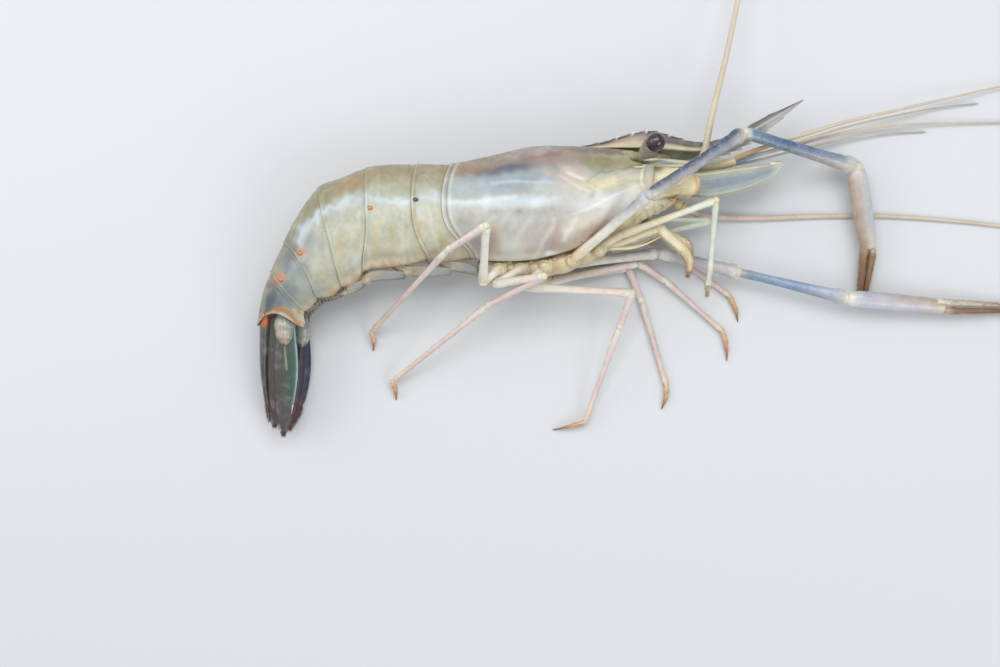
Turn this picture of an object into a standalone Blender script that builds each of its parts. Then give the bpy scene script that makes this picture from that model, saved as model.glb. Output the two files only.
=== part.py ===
"""A giant river prawn, life size, lying on its left side with its tail folded down.

Sizes and places are in millimetres and become metres when a mesh is made. Places are first given
from a point under the third pair of legs: X towards the head, Y towards the back, Z up from the
floor. The whole is then moved so that the origin is on the floor, under the middle of its outline.
The animal's right side is uppermost, so its plane of symmetry is level, near Z = BODY_Z.
"""

import math

import bmesh
import bpy
import numpy as np

MM = 0.001
GAP = 0.3  # left between two parts that meet
MIDDLE = (105.03, 95.86)  # middle of the outline in plan, which becomes the origin
BODY_Z = 19.0  # height of the plane of symmetry at the head

# The trunk's stations from the head to the tail: the back's X and Y, the lower edge's X and Y,
# half the width, and the height of the middle plane, which sinks to the floor at the tail.
STATIONS = {
    "front of the head": (55.9, 66.4, 55.9, 53.0, 9.0, 19.0),
    "behind the eyes": (49.7, 67.3, 49.7, 45.6, 13.0, 19.0),
    "liver": (38.6, 68.3, 38.6, 35.2, 16.5, 19.0),
    "stomach": (25.8, 69.0, 26.5, 28.6, 18.4, 19.0),
    "heart": (11.0, 68.6, 12.1, 24.9, 19.2, 19.0),
    "back of the gills": (-3.7, 65.2, -1.8, 24.6, 18.8, 18.7),
    "back of the carapace": (-17.7, 62.5, -13.3, 26.4, 17.8, 17.8),
    "joint 1 to 2": (-30.3, 62.4, -26.6, 25.2, 17.5, 17.4),
    "middle of 2": (-39.8, 62.3, -36.5, 24.2, 17.6, 17.5),
    "joint 2 to 3": (-49.1, 61.1, -46.5, 22.8, 17.4, 17.3),
    "middle of 3": (-58.7, 57.4, -51.9, 18.6, 16.8, 16.7),
    "joint 3 to 4": (-67.3, 53.8, -56.8, 15.7, 16.0, 15.9),
    "middle of 4": (-74.8, 43.9, -60.9, 13.6, 14.5, 14.9),
    "joint 4 to 5": (-80.2, 33.6, -66.4, 12.0, 13.0, 14.0),
    "joint 5 to 6": (-85.2, 22.9, -71.6, 7.6, 11.0, 12.5),
    "middle of 6": (-88.7, 14.0, -72.3, 4.5, 9.5, 11.5),
    "tail joint": (-90.4, 2.8, -72.1, 1.0, 8.5, 10.5),
}
TRUNK = np.array(list(STATIONS.values()))

# Where each plate ends, counted in stations, at the back, at the middle of the flank and at the
# lower edge. A plate's edge swings smoothly between the three.
EDGES = {
    "head": (1.3, 0.05, 0.15),
    "carapace": (6.0, 6.4, 5.75),
    "abdomen_1": (7.0, 7.3, 6.95),
    "abdomen_2": (9.0, 9.05, 9.5),
    "abdomen_3": (11.0, 11.0, 11.1),
    "abdomen_4": (13.0, 12.75, 13.0),
    "abdomen_5": (14.0, 14.05, 14.0),
    "abdomen_6": (16.0, 15.35, 15.7),
}
ORBIT = (math.radians(48), math.radians(84))  # the front edge is cut back for the eye up to the first angle
FRONT_MIDDLE = (54.6, 58.5, 19.0)  # the middle of the shell's closed front
TRUNK_SIDES = 28
PLATE_BANDS = {"carapace": 15, "abdomen_3": 5, "abdomen_4": 5}
SHELL_SPINES = ((0.25, 58, 3.4), (1.15, 72, 2.6))  # on each cheek: place, degrees from the back, length
SHELL_SPINE_RADIUS = 0.8
EDGE_ANGLE = math.radians(150)  # round from the back to the lower edge of the shell
BELLY_HOLLOW = 5.5  # how far the underside is hollowed between the lower edges
PLATE_LIP = 0.5  # how far the rear rim of a plate stands proud

# The rostrum's X, the Y of its upper edge, side ridge and lower edge, and half its thickness.
ROSTRUM = {
    "root": (29.8, 68.9, 68.0, 66.6, 1.2),
    "crest begins": (38.6, 70.5, 68.3, 66.4, 2.2),
    "crest": (47.8, 73.2, 68.3, 66.1, 2.6),
    "over the eye": (55.9, 74.4, 68.2, 65.6, 2.4),
    "before the eye": (63.0, 72.6, 67.8, 65.2, 1.9),
    "lowest": (74.0, 70.2, 67.4, 64.8, 1.4),
    "turns up": (85.7, 73.0, 70.3, 67.3, 1.15),
    "blade": (97.0, 79.3, 76.9, 74.0, 0.95),
    "point": (111.5, 86.1, 85.8, 85.5, 0.3),
}
UPPER_TEETH = (12, 0.06, 0.9)  # how many, and where the first and last are as shares of the length
LOWER_TEETH = (9, 0.56, 0.94)
TOOTH_LENGTH = 2.6
TOOTH_RADIUS = 0.75

EYE_RADII = (3.5, 3.3, 3.2)
EYE_AT = (56.2, 69.1, 30.3)
EYESTALK = ((48.6, 63.0, 22.6), (51.8, 65.4, 25.2), (54.8, 67.9, 28.6))
EYESTALK_RADIUS = 2.3

# The floor of the thorax: the place of its middle, half its height and half its width.
THORAX_FLOOR = (
    (-8.0, 24.6, 17.9, 2.2, 4.5), (-3.0, 24.2, 18.4, 3.4, 6.5), (8.0, 23.8, 19.0, 4.0, 7.2),
    (20.0, 25.6, 19.0, 4.2, 7.2), (30.0, 29.6, 19.0, 4.4, 7.0), (40.0, 36.0, 19.0, 4.6, 6.6),
    (48.0, 43.0, 19.0, 4.6, 6.0), (53.0, 49.5, 19.0, 3.6, 4.4),
)
# The jaws and inner mouthparts as one mass, given in the same way.
JAWS = (
    (46.0, 43.0, 19.0, 3.4, 3.0), (50.0, 45.5, 19.0, 4.4, 4.6), (54.5, 47.4, 19.0, 4.4, 4.8),
    (59.0, 48.2, 19.0, 3.6, 3.8), (63.0, 48.0, 19.0, 1.2, 1.4),
)
# Where each limb's first joint leaves the floor of the thorax.
COXAE = {1: (36.0, 31.0), 2: (26.5, 27.0), 3: (16.5, 25.0), 4: (8.0, 24.0), 5: (0.0, 24.0)}
COXA_SPREAD = 7.0  # from the plane of symmetry
COXA_RADIUS = 2.7

# The places of each leg's joints: its root, then the end of each segment.
LEGS = {
    "leg_1_right": ((36.0, 31.5, 25.0), (43.5, 35.5, 27.0), (78.4, 48.4, 27.0), (77.7, 23.5, 16.2)),
    "leg_1_left": ((36.0, 31.0, 13.0), (44.5, 33.6, 9.6), (79.1, 42.2, 9.0), (60.5, 42.6, 10.2)),
    "leg_3_right": ((16.5, 24.6, 26.5), (9.2, 17.0, 23.6), (49.0, 15.0, 14.0), (44.5, 1.7, 10.0),
                    (32.1, -33.5, 2.4), (20.1, -36.6, 0.28)),
    "leg_4_right": ((8.0, 23.6, 27.0), (-1.6, 18.0, 25.6), (15.7, 20.6, 33.0), (-5.2, 9.8, 18.0),
                    (-40.8, -18.3, 2.8), (-39.5, -25.2, 0.28)),
    "leg_5_right": ((-0.5, 23.6, 27.0), (-6.2, 18.6, 28.0), (-4.9, 37.9, 44.0), (-19.0, 29.6, 36.0),
                    (-48.6, 0.6, 3.0), (-48.2, -6.6, 0.28)),
    "leg_3_left": ((17.0, 25.0, 11.2), (29.0, 26.4, 5.2), (53.9, 34.9, 4.0), (64.2, 30.8, 3.0),
                   (87.0, 14.2, 1.6), (90.3, 4.4, 0.28)),
    "leg_4_left": ((8.5, 23.5, 11.0), (19.0, 19.6, 9.2), (52.0, 26.6, 5.7), (62.6, 19.8, 3.4),
                   (84.3, 0.9, 1.6), (86.1, -10.4, 0.28)),
    "leg_5_left": ((0.5, 23.6, 10.6), (9.5, 18.6, 4.8), (48.6, 25.1, 1.8), (53.9, 11.5, 1.8),
                   (63.1, -19.9, 1.2), (61.3, -28.7, 0.28)),
}
WALKING_RADII = (2.1, 1.9, 1.75, 1.35, 1.05, 0.9)  # at the root and at each joint
PINCER_RADII = (1.7, 1.5, 1.35, 1.05)
PINCER_REACH = {"leg_1_right": (-0.5, -9.6, -6.6), "leg_1_left": (-10.0, 0.2, 0.3)}
PINCER_RADIUS = 1.35

# The great claws: shoulder, end of the ischium, elbow, wrist, root of the fingers, finger tip.
CLAWS = {
    "right": ((26.5, 27.0, 28.0), (52.5, 48.8, 42.4), (88.3, 72.9, 28.0), (133.3, 62.4, 8.6),
              (139.0, 31.7, 4.6), (136.4, 10.4, 2.0)),
    "left": ((26.5, 26.0, 11.0), (59.1, 30.1, 10.2), (88.9, 23.1, 8.0), (129.6, 13.3, 8.6),
             (167.5, 10.1, 5.6), (196.5, 9.4, 2.2)),
}
CLAW_RADII = {  # root, end of ischium, elbow, root of wrist, end of wrist, palm, root of fingers
    "right": (2.0, 2.6, 3.2, 2.3, 3.4, 4.0, 3.2),
    "left": (2.0, 2.3, 2.9, 1.5, 2.9, 3.4, 2.9),
}

MAXILLIPEDS = {
    "right": ((39.5, 31.5, 22.0), (57.7, 38.8, 22.0), (67.2, 31.0, 19.5), (69.5, 21.0, 14.0)),
    "left": ((39.5, 32.5, 16.3), (57.0, 40.0, 16.0), (66.0, 34.6, 14.8), (70.0, 29.0, 12.6)),
}
MAXILLIPED_RADII = (1.9, 2.2, 1.9, 1.3)

ANTENNULE = ((51.0, 60.6, 21.8), (60.0, 61.6, 22.0), (72.0, 61.2, 21.8), (80.0, 61.8, 21.8),
             (86.4, 63.2, 21.9))
ANTENNULE_RADII = (2.3, 2.5, 1.9, 1.7, 1.4)
ANTENNA_BASE = ((50.0, 56.5, 21.5), (57.0, 56.2, 24.0), (64.0, 55.4, 25.0), (69.5, 54.8, 25.2))
ANTENNA_BASE_RADII = (3.0, 4.6, 4.9, 3.6)
STALKS = {  # the last joint of each antenna, which carries the feeler
    "right": ((62.0, 54.5, 25.5), (68.5, 58.8, 26.0), (72.6, 62.4, 26.4)),
    "left": ((60.0, 52.0, 12.6), (65.0, 49.0, 11.8), (68.6, 46.8, 10.8)),
}
STALK_RADIUS = 2.0
SCALE_EDGE = ((66.0, 57.6, 27.6), (98.8, 61.6, 28.4))  # the stiff outer edge from its root to nine tenths
SCALE_WIDTH = 11.0
SCALE_OUTLINE = (  # place along it, share of the width
    (0.0, 0.6), (0.12, 0.85), (0.3, 1.0), (0.6, 0.9), (0.85, 0.6), (0.95, 0.34), (1.0, 0.08),
)
SCALE_TILT = math.radians(40)

# The feelers' paths and their thickness at the root.
FEELERS = {
    "antenna_right": (((71.6, 61.4, 26.3), (74.4, 66.6, 25.8), (77.3, 79.7, 24.0), (83.1, 101.0, 18.0),
                       (88.7, 124.8, 12.0), (94.0, 151.0, 8.0), (105.0, 180.0, 5.0), (125.0, 206.0, 3.0),
                       (153.0, 223.0, 1.6), (186.0, 229.5, 0.7), (214.0, 229.0, 0.45)), 1.25),
    "antenna_left": (((68.0, 47.2, 11.0), (71.6, 45.6, 7.8), (76.0, 44.5, 4.6), (82.0, 43.9, 2.6),
                      (98.0, 43.7, 1.2), (125.0, 44.5, 0.8), (151.7, 44.2, 0.7), (189.7, 40.8, 0.65),
                      (222.0, 35.0, 0.6), (252.0, 25.5, 0.55), (280.0, 11.5, 0.5), (300.5, -5.0, 0.4)), 1.15),
    "antennule_outer_right": (((85.4, 63.6, 22.5), (95.6, 67.9, 19.6), (110.2, 73.0, 15.2),
                               (129.7, 79.1, 11.0), (149.2, 83.9, 7.0), (169.0, 88.8, 4.2),
                               (188.7, 93.4, 2.2), (208.0, 97.0, 1.0), (226.0, 98.4, 0.45)), 0.95),
    "antennule_inner_right": (((85.2, 62.1, 21.0), (97.0, 66.4, 17.8), (113.5, 72.0, 13.0),
                               (130.0, 77.4, 8.6), (148.0, 81.9, 4.6), (166.0, 85.6, 1.8),
                               (182.0, 87.4, 0.5)), 0.6),
    "antennule_outer_left": (((85.4, 63.7, 15.5), (108.0, 69.9, 9.6), (123.5, 74.0, 7.0),
                              (139.2, 77.4, 4.4), (158.5, 79.4, 2.4), (189.4, 80.0, 1.0),
                              (207.0, 79.0, 0.7), (222.0, 76.4, 0.45)), 0.8),
    "antennule_inner_left": (((85.2, 62.1, 17.0), (98.0, 64.9, 12.4), (112.0, 69.0, 7.0),
                              (127.0, 72.6, 3.4), (145.0, 75.6, 1.4), (162.0, 76.6, 0.5)), 0.55),
}
FEELER_STEPS = 2  # stretches between two of the points above
FEELER_TIP = 0.28

# The tail fan, each blade as root, middle and tip, with half its width and its tilt.
TELSON = ((-88.2, 4.4, 10.5), (-88.4, -14.0, 9.6), (-86.6, -33.0, 8.4))
TELSON_HALF_WIDTHS = (4.6, 3.6, 1.1)
TELSON_HALF_THICKNESSES = (2.0, 1.5, 0.6)
BLADES = {  # root, shoulder, middle, near the tip, tip; half widths; how far the inner edge is raised
    "uropod_outer_right": (((-79.2, 7.5, 14.6), (-79.2, 0.0, 15.4), (-79.4, -13.0, 14.6),
                            (-80.2, -27.0, 12.4), (-81.0, -38.2, 10.0)), (2.2, 3.4, 4.6, 3.6, 0.5), 0.2),
    "uropod_inner_right": (((-83.4, 5.0, 12.0), (-83.6, -2.0, 12.2), (-83.3, -14.0, 11.4),
                            (-83.7, -26.0, 10.0), (-84.4, -35.0, 8.6)), (1.4, 2.2, 2.7, 2.2, 0.5), 0.12),
    "uropod_inner_left": (((-82.0, 4.0, 8.2), (-82.4, -3.0, 7.6), (-82.4, -14.0, 6.6),
                           (-82.8, -25.0, 5.6), (-83.2, -34.0, 4.6)), (1.4, 2.3, 3.4, 2.6, 0.5), -0.12),
    "uropod_outer_left": (((-75.2, 4.6, 6.0), (-75.2, -2.0, 5.0), (-76.0, -14.0, 3.8),
                           (-77.6, -26.0, 2.6), (-80.2, -36.5, 1.4)), (2.0, 3.4, 4.4, 3.4, 0.5), -0.14),
}
BLADE_STUBS = {  # the rounded joint that carries each outer blade
    "uropod_outer_right": ((-78.8, 6.6, 13.6), (-78.6, -4.6, 15.4), 3.0),
    "uropod_outer_left": ((-74.0, 5.6, 6.4), (-74.4, -5.2, 4.9), 2.8),
}
BLADE_THICKNESS = 1.0
RIB_HEIGHT = 0.35

# The swimmerets, folded forward along the belly: where each starts and ends, counted in stations, and how
# far its middle line ends up below the hollow underside.
SWIMMERETS = {
    1: (6.75, 5.8, 8.6), 2: (8.35, 6.75, 8.8), 3: (10.1, 8.3, 8.4), 4: (11.7, 10.2, 6.4), 5: (13.2, 12.0, 4.4),
}
SWIMMERET_SPREAD = 4.0
SWIMMERET_SHAPE = (  # place along it, share of its drop, half its height, half its width
    (-0.04, -0.1, 1.5, 1.3), (0.08, 0.5, 2.0, 1.8), (0.25, 0.8, 2.1, 2.5), (0.55, 0.88, 1.9, 2.7),
    (0.85, 0.95, 1.3, 2.2), (1.0, 1.0, 0.5, 0.8),
)

SHELL = ((0.47, 0.45, 0.32), 0.3)
HEAD_SHELL = ((0.50, 0.48, 0.37), 0.25)
CREAM = ((0.66, 0.56, 0.38), 0.4)
TAIL = ((0.12, 0.13, 0.13), 0.3)
BLUE = ((0.13, 0.19, 0.42), 0.35)
PALM = ((0.50, 0.45, 0.42), 0.35)
FINGER = ((0.42, 0.27, 0.14), 0.35)
PINK = ((0.66, 0.46, 0.42), 0.4)
PALE_GREEN = ((0.58, 0.68, 0.60), 0.4)
FEELER = ((0.55, 0.45, 0.27), 0.45)
EYE = ((0.02, 0.015, 0.02), 0.08)


def clear_scene():
    for old in list(bpy.data.objects):
        bpy.data.objects.remove(old)


def material(name, look):
    """A plain Principled material of one colour and roughness, made once for each name."""
    found = bpy.data.materials.get(name)
    if found:
        return found
    made = bpy.data.materials.new(name)
    made.use_nodes = True
    shader = made.node_tree.nodes["Principled BSDF"]
    colour, roughness = look
    shader.inputs["Base Color"].default_value = (*colour, 1.0)
    shader.inputs["Roughness"].default_value = roughness
    shader.inputs["Metallic"].default_value = 0.0
    return made


def place(points):
    """Millimetres from the first reference point to metres from the origin."""
    return (np.asarray(points, float) - (*MIDDLE, 0.0)) * MM


def side_of(point, side):
    """A point on the head's right side, or its mirror image in the plane of symmetry on the left."""
    x, y, z = point
    return (x, y, z if side == "right" else 2 * BODY_Z - z)


def spline(keys, at):
    """A smooth curve through the rows of keys, read at positions counted in rows (Catmull-Rom)."""
    keys = np.asarray(keys, float)
    ends = np.vstack([2 * keys[0] - keys[1], keys, 2 * keys[-1] - keys[-2]])
    at = np.asarray(at, float)
    row = np.clip(np.floor(at).astype(int), 0, len(keys) - 2)
    t = (at - row)[..., None]
    a, b, c, d = ends[row], ends[row + 1], ends[row + 2], ends[row + 3]
    return 0.5 * (2 * b + (c - a) * t + (2 * a - 5 * b + 4 * c - d) * t**2 + (3 * b - a - 3 * c + d) * t**3)


def ease(t):
    """A smooth step from 0 to 1."""
    t = np.clip(t, 0.0, 1.0)
    return t * t * (3 - 2 * t)


def unit(vector):
    return vector / np.linalg.norm(vector)


def add_object(name, mesh, look, look_name):
    made = bpy.data.objects.new(name, mesh)
    mesh.materials.append(material(look_name, look))
    prawn.objects.link(made)
    mesh.shade_smooth()
    return made


def skin(name, rings, look=SHELL, look_name="shell", ends=(None, None)):
    """A closed surface through rings of points, whose two ends are closed by fans round a centre point."""
    rings = np.asarray(rings, float)
    sides = rings.shape[1]
    centres = [ring.mean(0) if end is None else end for ring, end in zip(rings[[0, -1]], ends)]
    shape = bmesh.new()
    rows = [[shape.verts.new(p) for p in place(ring)] for ring in rings]
    first, last = (shape.verts.new(place(c)) for c in centres)
    for upper, lower in zip(rows, rows[1:]):
        for i in range(sides):
            j = (i + 1) % sides
            shape.faces.new((upper[i], upper[j], lower[j], lower[i]))
    for i in range(sides):
        j = (i + 1) % sides
        shape.faces.new((first, rows[0][j], rows[0][i]))
        shape.faces.new((last, rows[-1][i], rows[-1][j]))
    bmesh.ops.recalc_face_normals(shape, faces=shape.faces)
    mesh = bpy.data.meshes.new(name)
    shape.to_mesh(mesh)
    shape.free()
    return add_object(name, mesh, look, look_name)


def spread(body):
    """The volume of the box round some vertices."""
    return np.prod(np.ptp([v.co for v in body], axis=0))


def keep_largest(obj):
    """Drops every closed surface of the mesh except the largest."""
    shape = bmesh.new()
    shape.from_mesh(obj.data)
    left, bodies = set(shape.verts), []
    while left:
        reached, front = set(), [left.pop()]
        while front:
            vert = front.pop()
            reached.add(vert)
            for edge in vert.link_edges:
                other = edge.other_vert(vert)
                if other in left:
                    left.remove(other)
                    front.append(other)
        bodies.append(reached)
    if len(bodies) > 1:
        bodies.sort(key=spread)
        scraps = [v for body in bodies[:-1] for v in body]
        bmesh.ops.delete(shape, geom=scraps, context="VERTS")
        shape.to_mesh(obj.data)
    shape.free()


def tidy_mesh(obj):
    """Merges points closer than a hundredth of a millimetre, which Booleans leave."""
    shape = bmesh.new()
    shape.from_mesh(obj.data)
    bmesh.ops.remove_doubles(shape, verts=shape.verts, dist=0.01 * MM)
    bmesh.ops.dissolve_degenerate(shape, edges=shape.edges, dist=0.005 * MM)
    bmesh.ops.triangulate(shape, faces=shape.faces)
    shape.to_mesh(obj.data)
    shape.free()


def is_closed(mesh):
    """Whether every edge of a mesh has exactly two faces."""
    edges = np.empty(len(mesh.loops), int)
    mesh.loops.foreach_get("edge_index", edges)
    return len(edges) > 0 and (np.bincount(edges, minlength=len(mesh.edges)) == 2).all()


def apply_boolean(obj, boolean):
    """Applies a Boolean with the first solver that leaves a closed surface, then tidies what it made."""
    graph = bpy.context.evaluated_depsgraph_get()
    for solver in ("EXACT", "MANIFOLD"):
        boolean.solver = solver
        graph.update()
        mesh = bpy.data.meshes.new_from_object(obj.evaluated_get(graph))
        if is_closed(mesh):
            break
    obj.modifiers.clear()
    obj.data = mesh
    tidy_mesh(obj)
    keep_largest(obj)


def union(base, pieces):
    """Joins closed pieces into the base object by one Boolean on a collection of them."""
    joined = bpy.data.collections.new(base.name + " pieces")
    for piece in pieces:
        joined.objects.link(piece)
    boolean = base.modifiers.new("join", "BOOLEAN")
    boolean.operation = "UNION"
    boolean.operand_type = "COLLECTION"
    boolean.collection = joined
    apply_boolean(base, boolean)
    for piece in pieces:
        bpy.data.objects.remove(piece)
    bpy.data.collections.remove(joined)
    return base


def cut_clear(obj, *neighbours, ahead=0.0):
    """Cuts the object back from its neighbours, so that it meets each face to face across the gap.

    Growing a shape moves a sharp rim little, so one can also be set ahead of itself, towards the head.
    """
    for neighbour in neighbours:
        cutter = neighbour.copy()
        cutter.data = neighbour.data.copy()
        prawn.objects.link(cutter)
        grown = cutter.modifiers.new("grow", "DISPLACE")
        grown.strength = GAP * MM
        grown.mid_level = 0.0
        cutter.location.x = ahead * MM
        boolean = obj.modifiers.new("cut", "BOOLEAN")
        boolean.operation = "DIFFERENCE"
        boolean.object = cutter
        apply_boolean(obj, boolean)
        bpy.data.objects.remove(cutter)
    return obj


def rest_on_floor(obj):
    """Flattens whatever would reach below the floor into small level flats."""
    for vert in obj.data.vertices:
        vert.co.z = max(vert.co.z, 0.0)


def path_frames(path, up=(0.0, 0.0, 1.0)):
    """The directions along a path, and two directions across it that turn as little as they can."""
    path = np.asarray(path, float)
    along = np.gradient(path, axis=0)
    along /= np.linalg.norm(along, axis=1)[:, None]
    upward = np.asarray(up, float)
    ups = []
    for direction in along:
        upward = unit(upward - direction * (upward @ direction))
        ups.append(upward)
    ups = np.array(ups)
    return along, np.cross(along, ups), ups


def sweep(path, wide, high, sides, up=(0.0, 0.0, 1.0)):
    """Rings of an ellipse carried along a path, with its half-widths across and half-heights up."""
    _, across, ups = path_frames(path, up)
    angle = np.arange(sides) * 2 * math.pi / sides
    wide, high = (np.broadcast_to(np.asarray(r, float), len(path)) for r in (wide, high))
    return (np.asarray(path, float)[:, None]
            + across[:, None] * (wide[:, None] * np.cos(angle))[..., None]
            + ups[:, None] * (high[:, None] * np.sin(angle))[..., None])


# A limb's segment swells towards its ends: places along it, and the share of its radius there.
SEGMENT_PLACES = (-0.02, 0.06, 0.5, 0.94, 1.01)
SEGMENT_SHARES = (0.62, 1.0, 0.87, 1.0, 0.62)


def segment(name, start, end, root_radius, end_radius, look, look_name, sides=7):
    """One segment of a limb: a tapering tube, a little swollen and domed at both joints."""
    start, end = np.asarray(start, float), np.asarray(end, float)
    places, shares = np.array(SEGMENT_PLACES), np.array(SEGMENT_SHARES)
    path = start + (end - start) * places[:, None]
    radii = (root_radius + (end_radius - root_radius) * places) * shares
    return skin(name, sweep(path, radii, radii, sides), look, look_name)


def pod(name, start, end, radius, look, look_name, sides=10):
    """A rounded stub between two places, widest in the middle."""
    share = np.array((0.04, 0.2, 0.5, 0.8, 0.96))
    start, end = np.asarray(start, float), np.asarray(end, float)
    radii = radius * np.sqrt(1 - (2 * share - 1) ** 2)
    return skin(name, sweep(start + (end - start) * share[:, None], radii, radii, sides), look, look_name)


def talon(name, start, end, root_radius, look, look_name, bend=(0.0, 0.0, 0.0), sides=7, tip=0.3):
    """A pointed last segment that curves towards its tip."""
    start, end = np.asarray(start, float), np.asarray(end, float)
    share = np.array((-0.08, 0.05, 0.35, 0.7, 1.0))
    bow = np.sin(math.pi * np.clip(share, 0, 1))[:, None] * np.asarray(bend, float)
    path = start + (end - start) * share[:, None] + bow
    radii = root_radius * np.array((0.55, 1.0, 0.85, 0.55, 0.0)) + np.array((0, 0, 0, 0.05, 1.0)) * tip
    return skin(name, sweep(path, radii, radii, sides), look, look_name)


def spike(name, foot, direction, length, radius, sides=5):
    """A small spine: a cone whose foot is sunk into what it grows from."""
    direction = unit(np.asarray(direction, float))
    foot = np.asarray(foot, float)
    path = np.array([foot - direction * radius, foot + direction * length * 0.55, foot + direction * length])
    radii = (radius, radius * 0.55, 0.12)
    return skin(name, sweep(path, radii, radii, sides, (0.2, 0.1, 1.0)))


def trunk_station(at):
    """At a place along the trunk: its middle, the vector up to the back, the half-width and the height."""
    values = spline(TRUNK, at)
    back, edge = values[..., 0:2], values[..., 2:4]
    return (back + edge) / 2, (back - edge) / 2, values[..., 4], values[..., 5]


def trunk_point(at, angle, grow=0.0, hollow=BELLY_HOLLOW):
    """A point of the trunk's surface, at a place counted in stations and an angle round from the back.

    The section is an egg, blunter below, whose underside is hollowed between the two lower edges.
    """
    middle, half, width, height = trunk_station(at)
    tall = np.linalg.norm(half, axis=-1)
    up = half / tall[..., None]
    cosine, sine = np.cos(angle), np.sin(angle)
    round_from_back = np.abs(np.arctan2(sine, cosine))
    rise = np.where(cosine > 0, cosine, -np.abs(cosine) ** 0.72) * (tall + grow)
    rise = rise + hollow * ease((round_from_back - EDGE_ANGLE) / (math.pi - EDGE_ANGLE))
    reach = np.sign(sine) * np.abs(sine) ** 0.9 * (1 - 0.1 * cosine) * (width + grow)
    flat = middle + up * rise[..., None]
    return np.concatenate([flat, (height + reach)[..., None]], axis=-1)


def edge_places(name, angle):
    """Where a plate's edge lies along the trunk at each angle round it."""
    back, flank, lower = EDGES[name]
    round_from_back = np.abs(np.arctan2(np.sin(angle), np.cos(angle)))
    turns = ORBIT if name == "head" else (0.0, math.pi / 2)
    upper_part = back + (flank - back) * ease((round_from_back - turns[0]) / (turns[1] - turns[0]))
    lower_part = (lower - flank) * ease((round_from_back - math.pi / 2) / (EDGE_ANGLE - math.pi / 2))
    return upper_part + lower_part


def plate(name, before, after, bands, look, look_name):
    """One ring of the trunk, between the edge that ends the plate before it and its own edge."""
    angle = np.arange(TRUNK_SIDES) * 2 * math.pi / TRUNK_SIDES
    start, end = edge_places(before, angle), edge_places(after, angle)
    spacing = np.linalg.norm(trunk_point(end, angle) - trunk_point(start, angle), axis=1) / (end - start)
    inset = (0.5 * GAP + 0.06) / spacing
    start = start + (inset if before != "head" else 0.0)
    end = end - inset
    share = np.linspace(0.0, 1.0, bands + 1)[:, None]
    at = start + (end - start) * share
    rings = trunk_point(at, np.broadcast_to(angle, at.shape), PLATE_LIP * share**2 - 0.25)
    front = FRONT_MIDDLE if before == "head" else None
    made = skin(name, rings, look, look_name, (front, None))
    rest_on_floor(made)
    return made


def make_trunk():
    names = list(EDGES)
    made = {}
    for before, name in zip(names, names[1:]):
        look = (HEAD_SHELL, "head shell") if name == "carapace" else (SHELL, "shell")
        made[name] = plate(name, before, name, PLATE_BANDS.get(name, 4), *look)
    spines = []
    for side in (1, -1):
        for at, angle, length in SHELL_SPINES:
            foot = trunk_point(np.array(at), np.array(side * math.radians(angle)))
            spines.append(spike("spine", foot, (1.0, 0.05, side * 0.28), length, SHELL_SPINE_RADIUS))
    union(made["carapace"], spines)
    return made


def make_rostrum(carapace):
    """A thin blade with a ridge along each side, toothed above and below."""
    keys = np.array(list(ROSTRUM.values()))
    at = np.linspace(0, len(keys) - 1, 2 * (len(keys) - 1) + 1)
    x, top, ridge, bottom, half = spline(keys, at).T
    half = np.maximum(half, 0.28)

    def corner(y, z):
        return np.stack([x, y, BODY_Z + z], axis=-1)

    upper, lower = (top * 0.72 + ridge * 0.28), (bottom * 0.72 + ridge * 0.28)
    edge = np.minimum(half * 0.45, 0.5)
    rings = np.stack([
        corner(top, edge * 0.6), corner(upper, edge), corner(ridge, half), corner(lower, edge),
        corner(bottom, edge * 0.6), corner(bottom, -edge * 0.6), corner(lower, -edge), corner(ridge, -half),
        corner(upper, -edge), corner(top, -edge * 0.6),
    ], axis=1)
    blade = skin("rostrum", rings, HEAD_SHELL, "head shell")
    teeth = []
    for edge_line, lift, (count, start, end) in ((top, 1.0, UPPER_TEETH), (bottom, -1.0, LOWER_TEETH)):
        for share in np.linspace(0, 1, count):
            row = (start + (end - start) * share) * (len(at) - 1)
            foot = [np.interp(row, range(len(at)), values) for values in (x, edge_line)]
            ahead = [np.interp(row + 1, range(len(at)), values) for values in (x, edge_line)]
            along = unit(np.subtract(ahead, foot))
            direction = along + 0.62 * lift * np.array((-along[1], along[0]))
            size = 1.0 - 0.35 * share
            length, radius = TOOTH_LENGTH * size, TOOTH_RADIUS * size
            teeth.append(spike("tooth", (*foot, BODY_Z), (*direction, 0.0), length, radius, 4))
    union(blade, teeth)
    return cut_clear(blade, carapace)


def make_eyes(carapace):
    stalks = {}
    for side in ("right", "left"):
        centre = side_of(EYE_AT, side)
        mesh = bpy.data.meshes.new("eye")
        shape = bmesh.new()
        bmesh.ops.create_uvsphere(shape, u_segments=14, v_segments=9, radius=1.0)
        for vert in shape.verts:
            vert.co = place(np.array(vert.co) * EYE_RADII + centre)
        shape.to_mesh(mesh)
        shape.free()
        eye = add_object("eye_" + side, mesh, EYE, "eye")
        path = spline([side_of(p, side) for p in EYESTALK], np.linspace(0, 2, 5))
        radii = EYESTALK_RADIUS * np.array((0.7, 0.85, 1.0, 1.15, 1.25))
        stalk = skin("eyestalk_" + side, sweep(path, radii, radii, 10), HEAD_SHELL, "head shell")
        stalks[side] = cut_clear(stalk, carapace, eye)
    return stalks


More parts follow.
